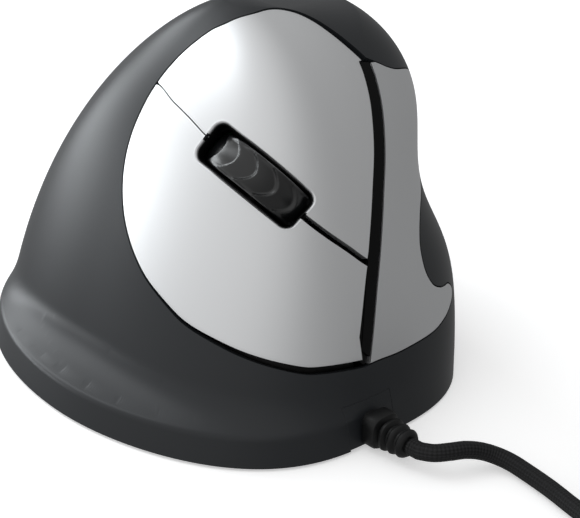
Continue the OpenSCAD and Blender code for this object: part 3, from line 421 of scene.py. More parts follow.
coil = np.stack([
    start[0] + coil_out + radius * np.cos(math.pi + turned),
    start[1] + radius * np.sin(math.pi + turned),
    start[2] + COIL_PITCH * climb,
], axis=-1)


def smooth_route(points):
    return np.concatenate([points[:1], spline(points[1:-1], ROUTE_STEPS), points[-1:]])


route = np.concatenate([smooth_route(LEAD)[:-1], coil, smooth_route(TAIL)[1:]])
route_steps = np.linalg.norm(np.diff(route, axis=0), axis=1)

# %% [markdown]
# A ring of points is set square to the route at each of its points. The tube gets a map that counts turns
# round it and the same distance along it, so that the strands of the braid later cross at an even slant.

# %% Cable tube with a braid map
CABLE_SIDES = 14
around = np.linspace(0, 2 * math.pi, CABLE_SIDES + 1)
cable_section = CABLE_D / 2 * np.stack([np.cos(around), np.sin(around)], axis=-1)
rings = tube_rings(route, cable_section)
n_rings, n_seam = rings.shape[:2]
cable_faces = grid_faces(n_rings, n_seam, flip=True)
cable_mesh = mesh_from("cable", rings, cable_faces)
along = np.concatenate([[0], np.cumsum(route_steps)]) / (math.pi * CABLE_D)
round_it = around / (2 * math.pi)
uv = np.stack(np.broadcast_arrays(along[:, None], round_it[None]), axis=-1).reshape(-1, 2)
braid_map = cable_mesh.uv_layers.new(name="braid_map")
loops = np.empty(len(cable_mesh.loops), int)
cable_mesh.loops.foreach_get("vertex_index", loops)
braid_map.data.foreach_set("uv", uv[loops].ravel())
cable = link("cable", cable_mesh, "body", "sleeve")
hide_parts("cable_lead", "cable_coil", "cable_tail")
print("cable rings:", n_rings)

# %% [markdown]
# ## The strain relief
# Where the cable leaves the mouse it is held by a soft moulding: a block with rounded flats and three ribs
# that get smaller towards the cable. A lathe with a squarish section gives both. Each row of the profile has
# the reach along the cable, the radius and how square the section is, where 2 is round.

# %% Strain relief
GLAND = np.array([-4, -49.67, 4.4])
RELIEF_PROFILE = [
    (-4.6, 3.5, 4.5), (-2.9, 3.5, 4.5), (-2.8, 2.6, 2.2), (0.2, 2.6, 2.2), (0.5, 3.1, 3.6),
    (0.9, 3.55, 3.8), (1.3, 3.6, 3.8), (3.4, 3.6, 3.6), (3.9, 3.45, 3.2), (4.2, 2.9, 2.6),
    (4.45, 2.55, 2.2), (4.65, 2.55, 2.2), (4.85, 2.9, 2.4), (5.05, 3.2, 2.6), (5.4, 3.3, 2.7),
    (5.8, 3.25, 2.6), (6.1, 2.9, 2.4), (6.35, 2.5, 2.2), (6.75, 2.5, 2.2), (7.0, 2.85, 2.3),
    (7.2, 3.05, 2.4), (7.55, 3.12, 2.5), (7.95, 3.05, 2.4), (8.25, 2.8, 2.3), (8.55, 2.45, 2.1),
    (8.95, 2.45, 2.1), (9.2, 2.75, 2.2), (9.4, 2.9, 2.3), (9.75, 2.95, 2.3), (10.15, 2.85, 2.2),
    (10.5, 2.6, 2.1), (10.75, 2.4, 2), (10.83, 1.85, 2),
]
RELIEF_SIDES = 48
turns = np.linspace(0, 2 * math.pi, RELIEF_SIDES, endpoint=False)
relief_rings = []
for reach, r, square in RELIEF_PROFILE:
    size = r * (np.abs(np.cos(turns)) ** square + np.abs(np.sin(turns)) ** square) ** (-1 / square)
    ring = np.stack([size * np.cos(turns), np.full_like(turns, -reach), size * np.sin(turns)], axis=-1)
    relief_rings.append(ring + GLAND)
relief_points = np.concatenate(relief_rings)
relief_faces = grid_faces(len(relief_rings), RELIEF_SIDES, wrap=True)
relief_faces.append(tuple(range(RELIEF_SIDES)))
relief_faces.append(tuple(reversed(range(len(relief_points) - RELIEF_SIDES, len(relief_points)))))
relief_mesh = mesh_from("relief_moulding", relief_points, relief_faces)
relief = link("relief_moulding", relief_mesh, "body", "boot")
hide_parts("strain_relief")
print("relief reaches y in mm:", round(relief_points[:, 1].min(), 2))

# %% [markdown]
# ## The two shells
# The charcoal shells run from the edge of the silver face down to the lip and the foot. Each is a filled
# outline: the silver's edge, the two seams and a rim just above the lip, with points set more closely near
# the lip, where the surface turns quickly. Below the rim a short curve rounds the lip and a wall drops to
# the foot. The two shells meet edge to edge, so that the seam is as faint as on the real mouse.

# %% Shells
LIP_ROUND = 0.9
SPREAD, SPREAD_NEAR_LIP, SPREAD_GROWTH, SPREAD_END = 1.1, 0.3, 1.07, 5
SPREAD_CLEAR = 0.35
PALM_COLUMNS, THUMB_COLUMNS = 300, 420
RIM_STEP, SEAM_STEPS, BEND_STEPS = 0.8, 49, 6


def polar_spread(b0, b1):
    points = []
    c, step, k = LIP_C - 2 * SPREAD_NEAR_LIP, SPREAD_NEAR_LIP, 0
    while c > SPREAD_END:
        gap = math.degrees(SPREAD / c)
        b = np.radians(np.arange(b0 + k % 2 * gap / 2, b1, gap))
        points.append(c * np.stack([np.cos(b), np.sin(b)], axis=-1))
        c, step, k = c - step, min(step * SPREAD_GROWTH, SPREAD), k + 1
    return np.concatenate(points)


def shell_piece(name, node, curve, columns):
    edge = even(curve[:, :2], columns)
    b0, b1 = curve[0, 2], curve[-1, 2]
    m = int(abs(b1 - b0) / RIM_STEP)
    b = np.radians(np.linspace(b0, b1, m + 1))
    direction = np.stack([np.cos(b), np.sin(b)], axis=-1)
    lip = skin(LIP_C * direction)
    probe = 0.2
    above = skin(colat(LIP_Z + probe) * direction)
    slope = np.linalg.norm(above[:, :2] - lip[:, :2], axis=1) / probe
    rise = LIP_ROUND / np.sqrt(1 + slope**2)
    rim = np.degrees(np.arccos((LIP_Z + rise) / BODY_H))[:, None] * direction
    t = np.linspace(0, 1, SEAM_STEPS + 1)[1:-1, None]
    seam_down, seam_up = edge[-1] * (1 - t) + rim[-1] * t, rim[0] * (1 - t) + edge[0] * t
    ring = np.concatenate([edge, seam_down, rim[::-1], seam_up])
    rim_at = columns + 1 + len(t) + m - np.arange(m + 1)
    turned = ring_area(ring) < 0
    if turned:
        ring, rim_at = ring[::-1], len(ring) - 1 - rim_at
    spots, faces = fill_ring(ring, polar_spread(min(b0, b1), max(b0, b1)), SPREAD_CLEAR)
    f = len(spots)
    faces = thicken(faces, f, len(ring), set(rim_at.tolist()))
    high, low = skin(rim), skin(colat(LIP_Z - LIP_ROUND) * direction)
    t = np.linspace(0, 1, BEND_STEPS + 1)[1:, None, None]
    bend = high * (1 - t) ** 2 + 2 * lip * t * (1 - t) + low * t**2
    foot = skin(FOOT_C * direction)
    foot_in = foot - WALL * np.column_stack([direction, np.zeros(m + 1)])
    rows = np.concatenate([bend, foot[None], foot_in[None]])
    row_numbers = 2 * f + np.arange(rows[..., 0].size).reshape(len(rows), m + 1)
    numbers = np.concatenate([rim_at[None], row_numbers, f + rim_at[None]])
    strips = []
    for r in range(len(numbers) - 1):
        for j in range(m):
            strips.append((numbers[r, j], numbers[r, j + 1], numbers[r + 1, j + 1], numbers[r + 1, j]))
    strips += [tuple(numbers[:, 0]), tuple(numbers[::-1, -1])]
    faces += [tuple(int(v) for v in (reversed(face) if turned else face)) for face in strips]
    points = np.concatenate([skin(spots), below(spots, WALL), rows.reshape(-1, 3)])
    piece = link(name, mesh_from(name, points, faces), "body", "shell")
    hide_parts(node)
    return piece


palm = shell_piece("palm_cover", "palm_shell", palm_curve, PALM_COLUMNS)
thumb = shell_piece("thumb_cover", "thumb_shell", thumb_curve, THUMB_COLUMNS)
print("shell faces:", len(palm.data.polygons), len(thumb.data.polygons))

# %% [markdown]
# ## The silver face
# Two finger buttons share the egg-shaped face, split by a line that runs through the wheel slot, fine above
# it and wider below. The gap round them is even, and widens where they near the ends of the black spine. Each
# is a sheet ruled between the split and its own outer edge. The lower one tapers away from the spine at its
# end, because that corner swings sideways when the button is pressed.

# %% Finger buttons
KEY_T, KEY_GAP, KEY_ROUND, SPINE_KEY, SPINE_PANEL = 1.6, 0.4, 0.28, 1.55, 1.75
SPLIT_THIN, SPLIT_WIDE, SPLIT_FROM, SPLIT_SPAN = 0.13, 0.7, 0.45, 0.35
UPPER_END, LOWER_END, PRESS_ROOM = 1.75, 1.62, 0.35
CORNER_SHARE = 0.012
KEY_ROWS, KEY_COLUMNS, EDGE_STEPS = 44, 150, 160


def spine_side(gap, start_at, end_at, n):
    return shift_by(even(spine_curve, n, start_at, end_at), np.full(n + 1, gap))


def widening(start, span, end):
    return KEY_GAP + (end - KEY_GAP) * smooth((np.arange(EDGE_STEPS + 1) / EDGE_STEPS - start) / span)


def finger_key(name, sign, edge):
    along = np.arange(KEY_COLUMNS + 1) / KEY_COLUMNS
    half = SPLIT_THIN + (SPLIT_WIDE - SPLIT_THIN) * smooth((along - SPLIT_FROM) / SPLIT_SPAN)
    split = shift_by(even(split_curve, KEY_COLUMNS, 0.01, 0.985), sign * half)
    grid = ruled(split, even(edge, KEY_COLUMNS, 0.003, 0.99), KEY_ROWS)
    return rounded(loft(name, grid, 0.0, KEY_T, name, "silver"), KEY_ROUND)


palm_flat = palm_curve[:, :2]
upper_edge = np.concatenate([
    shift_by(even(palm_flat, EDGE_STEPS, SPLIT_PALM, 1), -widening(0.5, 0.5, UPPER_END)),
    spine_side(-SPINE_KEY, 0.985, SPLIT_SHARE + CORNER_SHARE, 90),
])
lower_edge = np.concatenate([
    shift_by(even(palm_flat, EDGE_STEPS, SPLIT_PALM, 0.004), widening(0.3, 0.65, LOWER_END)),
    spine_side(SPINE_KEY + np.linspace(PRESS_ROOM, 0, 61), 0.02, SPLIT_SHARE - CORNER_SHARE, 60),
])
upper = finger_key("upper_key", 1, upper_edge)
lower = finger_key("lower_key", -1, lower_edge)
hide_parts("upper_button")
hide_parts("lower_button")
print("button faces:", len(upper.data.polygons), len(lower.data.polygons))

# %% [markdown]
# ## The thumb panel
# On the thumb's side of the spine a second silver panel sweeps back over the thumb hollow. It ends in a hook
# at the front, where the dark shell comes up beside it. Its outline runs along the spine and back along the
# thumb shell's edge, and is filled as the shells are.

# %% Thumb panel
PANEL_GAP, PANEL_ROUND, PANEL_STEP = 0.3, 0.3, 0.9
thumb_flat = even(thumb_curve[:, :2], THUMB_COLUMNS, 0.012, 0.985)
panel_outer = shift_by(thumb_flat, np.full(THUMB_COLUMNS + 1, PANEL_GAP))
panel_inner = spine_side(-SPINE_PANEL, 0.015, 0.985, 200)
panel_ring = np.concatenate([panel_inner, panel_outer[::-1]])
if ring_area(panel_ring) < 0:
    panel_ring = panel_ring[::-1]
panel_spread = spread_over(PANEL_STEP, panel_ring.min(0), panel_ring.max(0))
spots, faces = fill_ring(panel_ring, panel_spread, PANEL_STEP / 2)
panel_points = np.concatenate([skin(spots), below(spots, WALL)])
panel_mesh = mesh_from("thumb_plate", panel_points, thicken(faces, len(spots), len(panel_ring)))
panel = rounded(link("thumb_plate", panel_mesh, "body", "panel"), PANEL_ROUND)
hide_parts("thumb_panel")
print("panel faces:", len(panel.data.polygons))

# %% [markdown]
# ## The black spine
# Between the fingers' face and the thumb panel runs a sunk strip of gloss black. On the real mouse it is part
# of the tray under the buttons. The CAD tray has it too, a little narrower to clear the buttons, so a thin
# gloss strip is laid over it. It lies close to the panel, slopes down towards the buttons and leaves them
# room to be pressed, with more room at its lower end.

# %% Spine strip
STRIP_HIGH, STRIP_LOW, STRIP_T, STRIP_ROWS, STRIP_COLUMNS = 0.34, 0.85, 0.6, 10, 160
STRIP_GAP, STRIP_PLAY, STRIP_TAPER = 0.15, 0.6, 0.7
taper = STRIP_TAPER * np.linspace(1, 0, STRIP_COLUMNS + 1) ** 4
strip_key = spine_side(SPINE_KEY - STRIP_PLAY - taper, 0.03, 0.99, STRIP_COLUMNS)
strip_panel = spine_side(STRIP_GAP - SPINE_PANEL, 0.03, 0.99, STRIP_COLUMNS)
strip_depth = np.linspace(STRIP_HIGH, STRIP_LOW, STRIP_ROWS + 1)[:, None]
strip_grid = ruled(strip_panel, strip_key, STRIP_ROWS)
strip = loft("spine_strip", strip_grid, strip_depth, strip_depth + STRIP_T, "body", "gloss")
print("strip faces:", len(strip.data.polygons))

# %% [markdown]
# ## Frames for the wheel and the side buttons
# Some pieces are easier to make flat and set on the skin. A frame on the skin has its own forward, across
# and outward directions, and a short search finds the chart point above a place in it.

# %% Frames on the skin
def frame_to(at, ahead):
    q = chart(at)
    o, n = skin(q), normal(q)
    t = skin(chart(ahead)) - o
    x = t - (t @ n) * n
    x /= np.linalg.norm(x)
    return o, x, np.cross(n, x), n, q


def in_frame(f, p):
    d = np.asarray(p) - f[0]
    return np.stack([d @ f[1], d @ f[2], d @ f[3]], axis=-1)


def out_of_frame(f, p):
    p = np.asarray(p, float)
    return f[0] + p[..., :1] * f[1] + p[..., 1:2] * f[2] + p[..., 2:3] * f[3]


def chart_at(f, xy):
    xy = np.asarray(xy, float)
    q = np.broadcast_to(f[4], xy.shape).copy()
    probe, tries = 0.5, 8
    for _ in range(tries):
        p = in_frame(f, skin(q))
        u = (in_frame(f, skin(q + [probe, 0])) - p) / probe
        v = (in_frame(f, skin(q + [0, probe])) - p) / probe
        det = u[..., 0] * v[..., 1] - v[..., 0] * u[..., 1]
        a, b = xy[..., 0] - p[..., 0], xy[..., 1] - p[..., 1]
        q += np.stack([(v[..., 1] * a - v[..., 0] * b) / det, (u[..., 0] * b - u[..., 1] * a) / det], axis=-1)
    return q


WHEEL_AT, WHEEL_AHEAD = [237.5, 46.8], [250.5, 53.2]
SIDE_AT, SIDE_AHEAD = [357, 44.5], [347, 44.5]
key_frame = frame_to(WHEEL_AT, WHEEL_AHEAD)
side_frame = frame_to(SIDE_AT, SIDE_AHEAD)
print("wheel at mm:", np.round(key_frame[0], 1), "side buttons at mm:", np.round(side_frame[0], 1))

# %% [markdown]
# ## The wheel slot
# The slot is cut through both buttons with a rounded prism. The cut is made in the mesh for good, so that the
# pressed buttons keep it.

# %% Slot cut
SLOT_L, SLOT_W, SLOT_R, SLOT_X = 25.4, 9.2, 2.2, -0.7
SLOT_CORNERS = np.array([(1, 1), (-1, 1), (-1, -1), (1, -1)])
RIM = 0.6
CUT_LOW, CUT_HIGH = -9, 5
CUT_STEPS, RIM_STEPS, LONG_STEPS, SHORT_STEPS = 14, 18, 20, 6


def slot_outline(grow, n=RIM_STEPS):
    r = SLOT_R + grow
    centres = SLOT_CORNERS * [SLOT_L / 2 - SLOT_R, SLOT_W / 2 - SLOT_R]
    points = []
    for k in range(4):
        a = np.radians(90 * k + np.linspace(0, 90, n))
        arc = centres[k] + r * np.column_stack([np.cos(a), np.sin(a)])
        ahead = centres[(k + 1) % 4] - centres[k]
        steps = SHORT_STEPS if k % 2 else LONG_STEPS
        points += [arc, arc[-1] + ahead * (np.arange(1, steps) / steps)[:, None]]
    return np.concatenate(points) + [SLOT_X, 0]


def add_cutter(name, low, high):
    n = len(low)
    faces = grid_faces(2, n, wrap=True, flip=True)
    faces += [tuple(reversed(range(n))), tuple(range(n, 2 * n))]
    cutter = bpy.data.objects.new(name, mesh_from(name, np.concatenate([low, high]), faces))
    bpy.context.scene.collection.objects.link(cutter)
    return cutter


def cut_out(piece, cutters):
    for cutter in cutters:
        cut = piece.modifiers.new(cutter.name, "BOOLEAN")
        cut.operation, cut.solver, cut.object = "DIFFERENCE", "EXACT", cutter
    bpy.context.view_layer.update()
    done = piece.evaluated_get(bpy.context.evaluated_depsgraph_get())
    shape = bpy.data.meshes.new_from_object(done)
    piece.modifiers.clear()
    piece.data = shape
    shade_smooth(shape)


cut_ring = slot_outline(RIM * 0.6, CUT_STEPS)
cut_ends = [np.column_stack([cut_ring, np.full(len(cut_ring), z)]) for z in (CUT_LOW, CUT_HIGH)]
cutter = add_cutter("slot_cutter", *[out_of_frame(key_frame, end) for end in cut_ends])
for piece in (upper, lower):
    cut_out(piece, [cutter])
bpy.data.objects.remove(cutter)
print("button faces after the cut:", len(upper.data.polygons), len(lower.data.polygons))

# %% [markdown]
# A small rolled rim, made for each button on its own, covers the cut and gives the bright line that runs round
# the slot. It stops short of the split. Inside it a black liner hides the edge of the cut and the space below.

# %% Slot rims and liner
RIM_LAP, RIM_PROUD, RIM_SINK, RIM_T, RIM_BEND = 0.15, 0.015, 0.06, 0.1, 6
LINER_ROWS = ((0.1, 0.62), (-0.22, 0.5), (-0.3, 0.75), (-0.3, 2.8), (0.1, 2.8))


def slot_row(grow, depth, order=slice(None)):
    return below(chart_at(key_frame, slot_outline(grow)[order]), depth)


def slot_rim(name, sign, body):
    ring = slot_outline(0)
    inside = sign * ring[:, 1] > np.where(ring[:, 0] > 0, RIM, SPLIT_THIN)
    begin = next(i for i in range(len(ring)) if inside[i] and not inside[i - 1])
    order = [(begin + i) % len(ring) for i in range(int(inside.sum()))]
    rows = [slot_row(RIM + RIM_LAP, RIM_SINK, order)]
    for angle in np.radians(np.linspace(0, 90, RIM_BEND + 1)):
        depth = RIM * (1 - math.cos(angle)) - RIM_PROUD
        rows.append(slot_row(RIM * (1 - math.sin(angle)), depth, order))
    backs = [slot_row(RIM + RIM_LAP, RIM_T + RIM_SINK * k, order) for k in range(len(rows))]
    return closed_sheet(name, np.array(rows), np.array(backs), True, body, "silver")


upper_rim = slot_rim("upper_slot_rim", 1, "upper_key")
lower_rim = slot_rim("lower_slot_rim", -1, "lower_key")
liner_rows = [slot_row(grow, depth) for grow, depth in LINER_ROWS]
liner_faces = grid_faces(len(liner_rows) + 1, len(liner_rows[0]), wrap=True)
liner_points = np.concatenate(liner_rows + liner_rows[:1])
link("slot_liner", mesh_from("slot_liner", liner_points, liner_faces), "body", "gloss")
print("rim points:", len(upper_rim.data.vertices), len(lower_rim.data.vertices), "liner:", len(liner_points))

# %% [markdown]
# ## The scroll wheel
# The tyre is soft and dark, with a row of crescent ridges that run across it like fish scales. It is one
# surface of revolution whose radius rises along each crescent and drops sharply after it.

# %% Tyre
WHEEL_D, WHEEL_W, AXLE_DEPTH, TYRE_T = 25.2, 7.4, 9.4, 3
CROWN, SHOULDER, SHOULDER_SHARE = 0.55, 0.7, 0.14
TREADS, TREAD_D, TREAD_BOW, TREAD_RISE, TREAD_FADE = 15, 0.7, 0.75, 0.14, 0.25
TYRE_STEPS, TYRE_ROWS = 432, 33
turns = np.linspace(0, 2 * math.pi, TYRE_STEPS, endpoint=False)
a, s = np.meshgrid(turns, np.linspace(-1, 1, TYRE_ROWS), indexing="ij")
inward = 1 - np.abs(s)
phase = (TREADS * a / (2 * math.pi) + TREAD_BOW * s**2) % 1.0
scale = np.where(phase > TREAD_RISE, (1 - phase) / (1 - TREAD_RISE), phase / TREAD_RISE) ** 1.2
shoulder = SHOULDER * (1 - np.clip(inward / SHOULDER_SHARE, 0, 1) ** 0.5)
tread = TREAD_D * (1 - scale) * smooth(inward / TREAD_FADE)
r = WHEEL_D / 2 - CROWN * s**2 - shoulder - tread
bore = np.full((len(turns), 1), WHEEL_D / 2 - TYRE_T)
r, s, a = (np.hstack(rows) for rows in ([bore, r, bore], [s[:, :1], s, s[:, -1:]], [a[:, :1], a, a[:, -1:]]))
tyre_grid = np.stack([r * np.sin(a), s * WHEEL_W / 2, r * np.cos(a) - AXLE_DEPTH], axis=-1)
n, m = tyre_grid.shape[:2]
tyre_faces = []
for i in range(n):
    here, ahead = i * m, (i + 1) % n * m
    tyre_faces += [(here + j, ahead + j, ahead + (j + 1) % m, here + (j + 1) % m) for j in range(m)]
tyre_mesh = mesh_from("wheel_tread", out_of_frame(key_frame, tyre_grid), tyre_faces)
tyre = link("wheel_tread", tyre_mesh, "wheel", "tread")
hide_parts("scroll_tyre")
print("tyre faces:", len(tyre_faces))

# %% [markdown]
# ## The side buttons
# Above the thumb hollow are two slim buttons for going forward and back. They share one opening in the thumb
# shell. A second opening, at the front of both shells, takes the insert round the cable.

# %% Side buttons
SIDE_L, SIDE_H, SIDE_GAP, SIDE_T, SIDE_PROUD, SIDE_ROUND = 12, 6, 0.4, 3.7, 0.25, 0.4
SIDE_X = SIDE_L / 2 + SIDE_GAP / 2
CUT_PAST = 1.0
FRONT_CUT_W, FRONT_CUT_Y, FRONT_CUT_Z = 12.48, (-4, 6), (-0.4, 9.34)


def pad_grid(x0, length, height, nx=60, ny=30):
    v = -np.cos(np.pi * np.arange(ny + 1) / ny)
    half_l = length / 2 - height / 4 * (1 - np.sqrt(np.clip(1 - v * v, 0, 1)) * 0.999)
    x = x0 + half_l[:, None] * np.linspace(-1, 1, nx + 1)[None]
    y = np.broadcast_to((v * height / 2)[:, None], x.shape)
    return chart_at(side_frame, np.stack([x, y], axis=-1))


opening = pad_grid(0, 2 * SIDE_X + SIDE_L + 2 * SIDE_GAP, SIDE_H + 2 * SIDE_GAP)
side_cut = loft("side_cut", opening, -CUT_PAST, WALL + CUT_PAST, "body", "shell")
front_x = GLAND[0] + np.array([-1, 1, 1, -1]) * FRONT_CUT_W / 2
front_y = GLAND[1] + np.array(FRONT_CUT_Y)[[0, 0, 1, 1]]
front_ends = [np.column_stack([front_x, front_y, np.full(4, z)]) for z in FRONT_CUT_Z]
front_cut = add_cutter("front_cut", *front_ends)
cut_out(palm, [front_cut])
cut_out(thumb, [front_cut, side_cut])
for cutter in (side_cut, front_cut):
    bpy.data.objects.remove(cutter)
for way, x0 in (("forward", SIDE_X), ("back", -SIDE_X)):
    pad_shape = pad_grid(x0, SIDE_L, SIDE_H)
    pad = loft(way + "_pad", pad_shape, -SIDE_PROUD, SIDE_T, way + "_key", "silver")
    rounded(pad, SIDE_ROUND)
    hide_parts(way + "_button")
print("shell faces after the cuts:", len(palm.data.polygons), len(thumb.data.polygons))

# %% [markdown]
# ## The cable gland
# At the front a small insert closes the shells round the relief. It is a patch of the same skin, drawn on a
# flat frame that faces the front, so it carries the shells' curve on with only a fine seam round it.

# %% Cable gland
GLAND_W, GLAND_TOP, GLAND_ROUND = 13, 9.6, 0.05
gland_axes = np.array([1.0, 0, 0]), np.array([0, 0, 1.0]), np.array([0, -1.0, 0])
gland_frame = (GLAND, *gland_axes, chart([264, 86]))
half_w = GLAND_W / 2 - PANEL_GAP
gx = np.linspace(-half_w, half_w, 41)
gz = np.linspace(FOOT_T + PANEL_GAP, GLAND_TOP - PANEL_GAP, 33) - GLAND[2]
gland_grid = chart_at(gland_frame, np.stack(np.meshgrid(gx, gz), axis=-1))
gland = loft("gland_insert", gland_grid, 0.0, WALL, "body", "shell")
rounded(gland, GLAND_ROUND, 1)
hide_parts("cable_gland")
print("gland faces:", len(gland.data.polygons))

# %% [markdown]
# ## Smooth shading for the solids that stay
# The spine, the base and the inner pieces are the CAD solids themselves. Their meshes are left alone: a small
# geometry modifier shades them smoothly, and keeps the edges that turn by more than 30 degrees sharp. The
# plug and the coil's tie also get a rounded edge.

# %% Shade the CAD solids
SOLID_SHARP = math.radians(30)
PLUG_ROUND, TIE_ROUND = 0.8, 0.2


def smooth_by_angle():
    group = bpy.data.node_groups.new("shade_by_angle", "GeometryNodeTree")
    for way in ("INPUT", "OUTPUT"):
        group.interface.new_socket("Geometry", in_out=way, socket_type="NodeSocketGeometry")
    start_node, end_node = group.nodes.new("NodeGroupInput"), group.nodes.new("NodeGroupOutput")
    faces_smooth, edges_smooth = (group.nodes.new("GeometryNodeSetShadeSmooth") for _ in range(2))
    edges_smooth.domain = "EDGE"
    angle, limit = group.nodes.new("GeometryNodeInputMeshEdgeAngle"), group.nodes.new("FunctionNodeCompare")
    limit.operation = "LESS_THAN"
    limit.inputs[1].default_value = SOLID_SHARP
    group.links.new(start_node.outputs[0], faces_smooth.inputs["Geometry"])
    group.links.new(faces_smooth.outputs["Geometry"], edges_smooth.inputs["Geometry"])
    group.links.new(angle.outputs["Unsigned Angle"], limit.inputs[0])
    group.links.new(limit.outputs["Result"], edges_smooth.inputs["Shade Smooth"])
    group.links.new(edges_smooth.outputs["Geometry"], end_node.inputs[0])
    return group


shade_group = smooth_by_angle()
for node in nodes.values():
    if not node.hide_render:
        node.modifiers.new("shade", "NODES").node_group = shade_group
rounded(nodes["plug_overmould"], PLUG_ROUND)
rounded(nodes["coil_tie"], TIE_ROUND)
print("solids shown:", sum(not node.hide_render for node in nodes.values()))

# %% [markdown]
# ## Shared effects
# Two small node groups give what repeats in the finishes: a fine grain for moulded plastic and a weave for the
# braid. Each only gives a height, and a material decides how deep it is.

# %% Shared effects
def value_socket(group, name, kind, default=None, out=False):
    way = "OUTPUT" if out else "INPUT"
    item = group.interface.new_socket(name, in_out=way, socket_type="NodeSocket" + kind)
    if default is not None:
        item.default_value = default
    return item


def grain_group():
    group = bpy.data.node_groups.new("moulded_grain", "ShaderNodeTree")
    value_socket(group, "Scale", "Float", 4000)
    value_socket(group, "Height", "Float", out=True)
    ends = group.nodes.new("NodeGroupInput"), group.nodes.new("NodeGroupOutput")
    place, noise = group.nodes.new("ShaderNodeTexCoord"), group.nodes.new("ShaderNodeTexNoise")
    noise.inputs["Detail"].default_value = 2
    group.links.new(place.outputs["Object"], noise.inputs["Vector"])
    group.links.new(ends[0].outputs["Scale"], noise.inputs["Scale"])
    group.links.new(noise.outputs[0], ends[1].inputs["Height"])
    return group


def weave_group():
    group = bpy.data.node_groups.new("braid_weave", "ShaderNodeTree")
    value_socket(group, "Strands", "Float", 8)
    value_socket(group, "Height", "Float", out=True)
    ends = group.nodes.new("NodeGroupInput"), group.nodes.new("NodeGroupOutput")
    place, split = group.nodes.new("ShaderNodeUVMap"), group.nodes.new("ShaderNodeSeparateXYZ")
    place.uv_map = "braid_map"
    group.links.new(place.outputs[0], split.inputs[0])

    def math_node(operation, a, b=None):
        node = group.nodes.new("ShaderNodeMath")
        node.operation = operation
        for socket, value in zip(node.inputs, (a, b)):
            if isinstance(value, (int, float)):
                socket.default_value = value
            elif value is not None:
                group.links.new(value, socket)
        return node.outputs[0]

    waves = []
    for sense in ("ADD", "SUBTRACT"):
        slant = math_node(sense, split.outputs["Y"], split.outputs["X"])
        turns_on = math_node("MULTIPLY", math_node("MULTIPLY", slant, ends[0].outputs["Strands"]), 2 * math.pi)
        waves.append(math_node("SINE", turns_on))
    weave = math_node("MULTIPLY", math_node("ADD", math_node("MULTIPLY", waves[0], waves[1]), 1), 0.5)
    group.links.new(weave, ends[1].inputs["Height"])
    return group


GRAIN, WEAVE = grain_group(), weave_group()
print("groups:", GRAIN.name, WEAVE.name)

# %% [markdown]
# ## Finishes
# Each finish is one Principled material. The painted silver is a fine metallic coat over plastic, the shells
# are a soft charcoal, the spine is gloss black and the cable is a woven sleeve, with painted shade between its
# strands and painted light on their crests.

# %% Materials
COAT_ROUGHNESS = 0.12
# Painted shade and painted light on the braid: colour shares for the grooves between strands and for their
# crests.
STRAND_GROOVE_SHADE, STRAND_CREST_LIGHT = 0.35, 1.5


def finish(name, colour, roughness, metallic=0.0, coat=0.0, grain=0.0, weave=0.0, alpha=1.0, shine=0.5):
    material = bpy.data.materials.new(name)
    material.use_nodes = True
    tree = material.node_tree
    shader = tree.nodes["Principled BSDF"]
    for socket, value in (
        ("Base Color", (*colour, 1)), ("Roughness", roughness), ("Metallic", metallic), ("Alpha", alpha),
        ("Specular IOR Level", shine), ("Coat Weight", coat), ("Coat Roughness", COAT_ROUGHNESS),
    ):
        shader.inputs[socket].default_value = value
    effect, depth = (GRAIN, grain) if grain else (WEAVE, weave)
    if depth:
        source, bump = tree.nodes.new("ShaderNodeGroup"), tree.nodes.new("ShaderNodeBump")
        source.node_tree = effect
        bump.inputs["Strength"].default_value = 1.0
        bump.inputs["Distance"].default_value = depth * MM
        tree.links.new(source.outputs["Height"], bump.inputs["Height"])
        tree.links.new(bump.outputs["Normal"], shader.inputs["Normal"])
    # The braid's colour follows the weave's height: painted shade in the grooves, painted light on the crests.
    if weave:
        strand_shade_ramp = tree.nodes.new("ShaderNodeValToRGB")
        for stop, share in zip(strand_shade_ramp.color_ramp.elements, (STRAND_GROOVE_SHADE, STRAND_CREST_LIGHT)):
            stop.color = (*[c * share for c in colour], 1)
        tree.links.new(source.outputs["Height"], strand_shade_ramp.inputs["Fac"])
        tree.links.new(strand_shade_ramp.outputs["Color"], shader.inputs["Base Color"])
    return material


FINISHES = {
    "shell": finish("charcoal_moulding", (0.019, 0.0212, 0.024), 0.38, grain=0.003, shine=0.36),
    "silver": finish("silver_paint", (0.79, 0.8, 0.81), 0.42, metallic=0.9, coat=0.1),
    # The thumb panel is the same silver paint. Its darker base colour is painted shade for a face turned away
    # from the light.
    "panel": finish("silver_panel_paint", (0.68, 0.69, 0.7), 0.42, metallic=0.9, coat=0.1),
    "gloss": finish("gloss_black", (0.003, 0.0032, 0.0033), 0.22, shine=0.14),
    "dark": finish("black_moulding", (0.02, 0.021, 0.022), 0.5, grain=0.006),
    "tread": finish("wheel_rubber", (0.006, 0.0065, 0.007), 0.3, shine=0.65),
    "sleeve": finish("braided_sleeve", (0.01, 0.0103, 0.011), 0.6, weave=0.16, shine=0.3),
    "boot": finish("relief_rubber", (0.005, 0.0053, 0.0056), 0.42, shine=0.3),
    "glide": finish("pale_glide", (0.7, 0.7, 0.71), 0.35),
    "steel": finish("plain_steel", (0.6, 0.61, 0.62), 0.3, metallic=1.0),
    "board": finish("green_board", (0.02, 0.14, 0.06), 0.4),
    "chip": finish("chip_black", (0.015, 0.015, 0.016), 0.4),
    "cream": finish("natural_moulding", (0.72, 0.69, 0.6), 0.5),
    "red": finish("red_moulding", (0.5, 0.04, 0.03), 0.4),
    "green": finish("dark_green_moulding", (0.03, 0.13, 0.08), 0.45),
    "clear": finish("clear_moulding", (0.85, 0.9, 0.92), 0.08, alpha=0.4),
    "gold": finish("gold_plate", (0.8, 0.56, 0.2), 0.25, metallic=1.0),
}
slot_of = {row["node"]: row["material_slot"] for row in frame["record"]["subparts"]}
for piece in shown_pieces():
    slot = slot_of.get(piece.name) or piece.get("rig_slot")
    piece.data.materials.clear()
    piece.data.materials.append(FINISHES[slot])
print("finishes:", len(FINISHES))

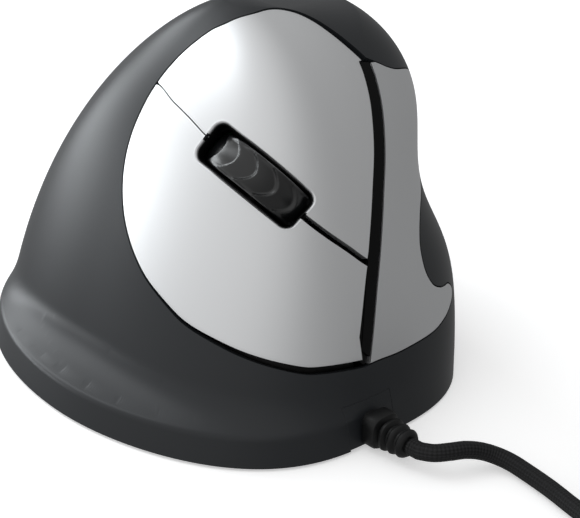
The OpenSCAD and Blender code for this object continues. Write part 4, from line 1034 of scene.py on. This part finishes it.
# %% [markdown]
# ## Floor and light
# The photograph is a cut-out on white. So the pale floor glows a little to stay white, and it is hidden from
# diffuse and glossy rays: it takes the shadow, but throws no light back onto the mouse. The light comes softly
# from the left, above and behind, with the thumb side in shade. Three windows behind the mouse give the long
# reflections on the palm and on the silver. The sky fades from bright at the upper left to dim at the right.

# %% Floor and lights
FLOOR_SIZE, FLOOR_GLOW = 8, 0.45
LIGHT_COLOUR, LIGHT_AIM = (0.93, 0.97, 1.0), Vector((0, 0, 0.04))
SKY_LEAN = (-0.6, 0.2, 0.75)
SKY_FADE = {"From Min": 0.02, "From Max": 0.85, "To Min": 0.32, "To Max": 0.78}
bpy.ops.mesh.primitive_plane_add(size=FLOOR_SIZE, location=(0, 0, 0))
floor = bpy.context.object
floor.name = "floor"
floor.data.materials.append(finish("pale_floor", (0.9, 0.9, 0.9), 0.9))
glow = floor.active_material.node_tree.nodes["Principled BSDF"]
glow.inputs["Emission Color"].default_value = (1, 1, 1, 1)
glow.inputs["Emission Strength"].default_value = FLOOR_GLOW
floor.visible_diffuse = floor.visible_glossy = False


def window(name, place, size, power):
    light = bpy.data.lights.new(name, "AREA")
    light.shape, light.energy, light.color = "RECTANGLE", power, LIGHT_COLOUR
    light.size, light.size_y = size
    lamp = bpy.data.objects.new(name, light)
    lamp.location = place
    lamp.rotation_euler = (LIGHT_AIM - Vector(place)).to_track_quat("-Z", "Y").to_euler()
    bpy.context.scene.collection.objects.link(lamp)


window("low_window", (-0.54, 1.33, 0.19), (1.0, 0.36), 7.4)
window("high_window", (-0.16, 1.3, 0.72), (0.9, 0.6), 8.4)
window("roof_window", (-0.42, 0.68, 1.15), (0.6, 0.6), 1.9)
world = bpy.data.worlds.new("sky")
bpy.context.scene.world = world
world.use_nodes = True
sky = world.node_tree
place, lean = sky.nodes.new("ShaderNodeTexCoord"), sky.nodes.new("ShaderNodeVectorMath")
fade = sky.nodes.new("ShaderNodeMapRange")
fade.interpolation_type = "SMOOTHSTEP"
lean.operation = "DOT_PRODUCT"
lean.inputs[1].default_value = SKY_LEAN
for socket, value in SKY_FADE.items():
    fade.inputs[socket].default_value = value
sky.links.new(place.outputs["Generated"], lean.inputs[0])
sky.links.new(lean.outputs["Value"], fade.inputs["Value"])
sky.links.new(fade.outputs["Result"], sky.nodes["Background"].inputs["Strength"])
sky.nodes["Background"].inputs["Color"].default_value = (1, 1, 1, 1)
bpy.context.scene.view_settings.view_transform = "Standard"
print("lights set")
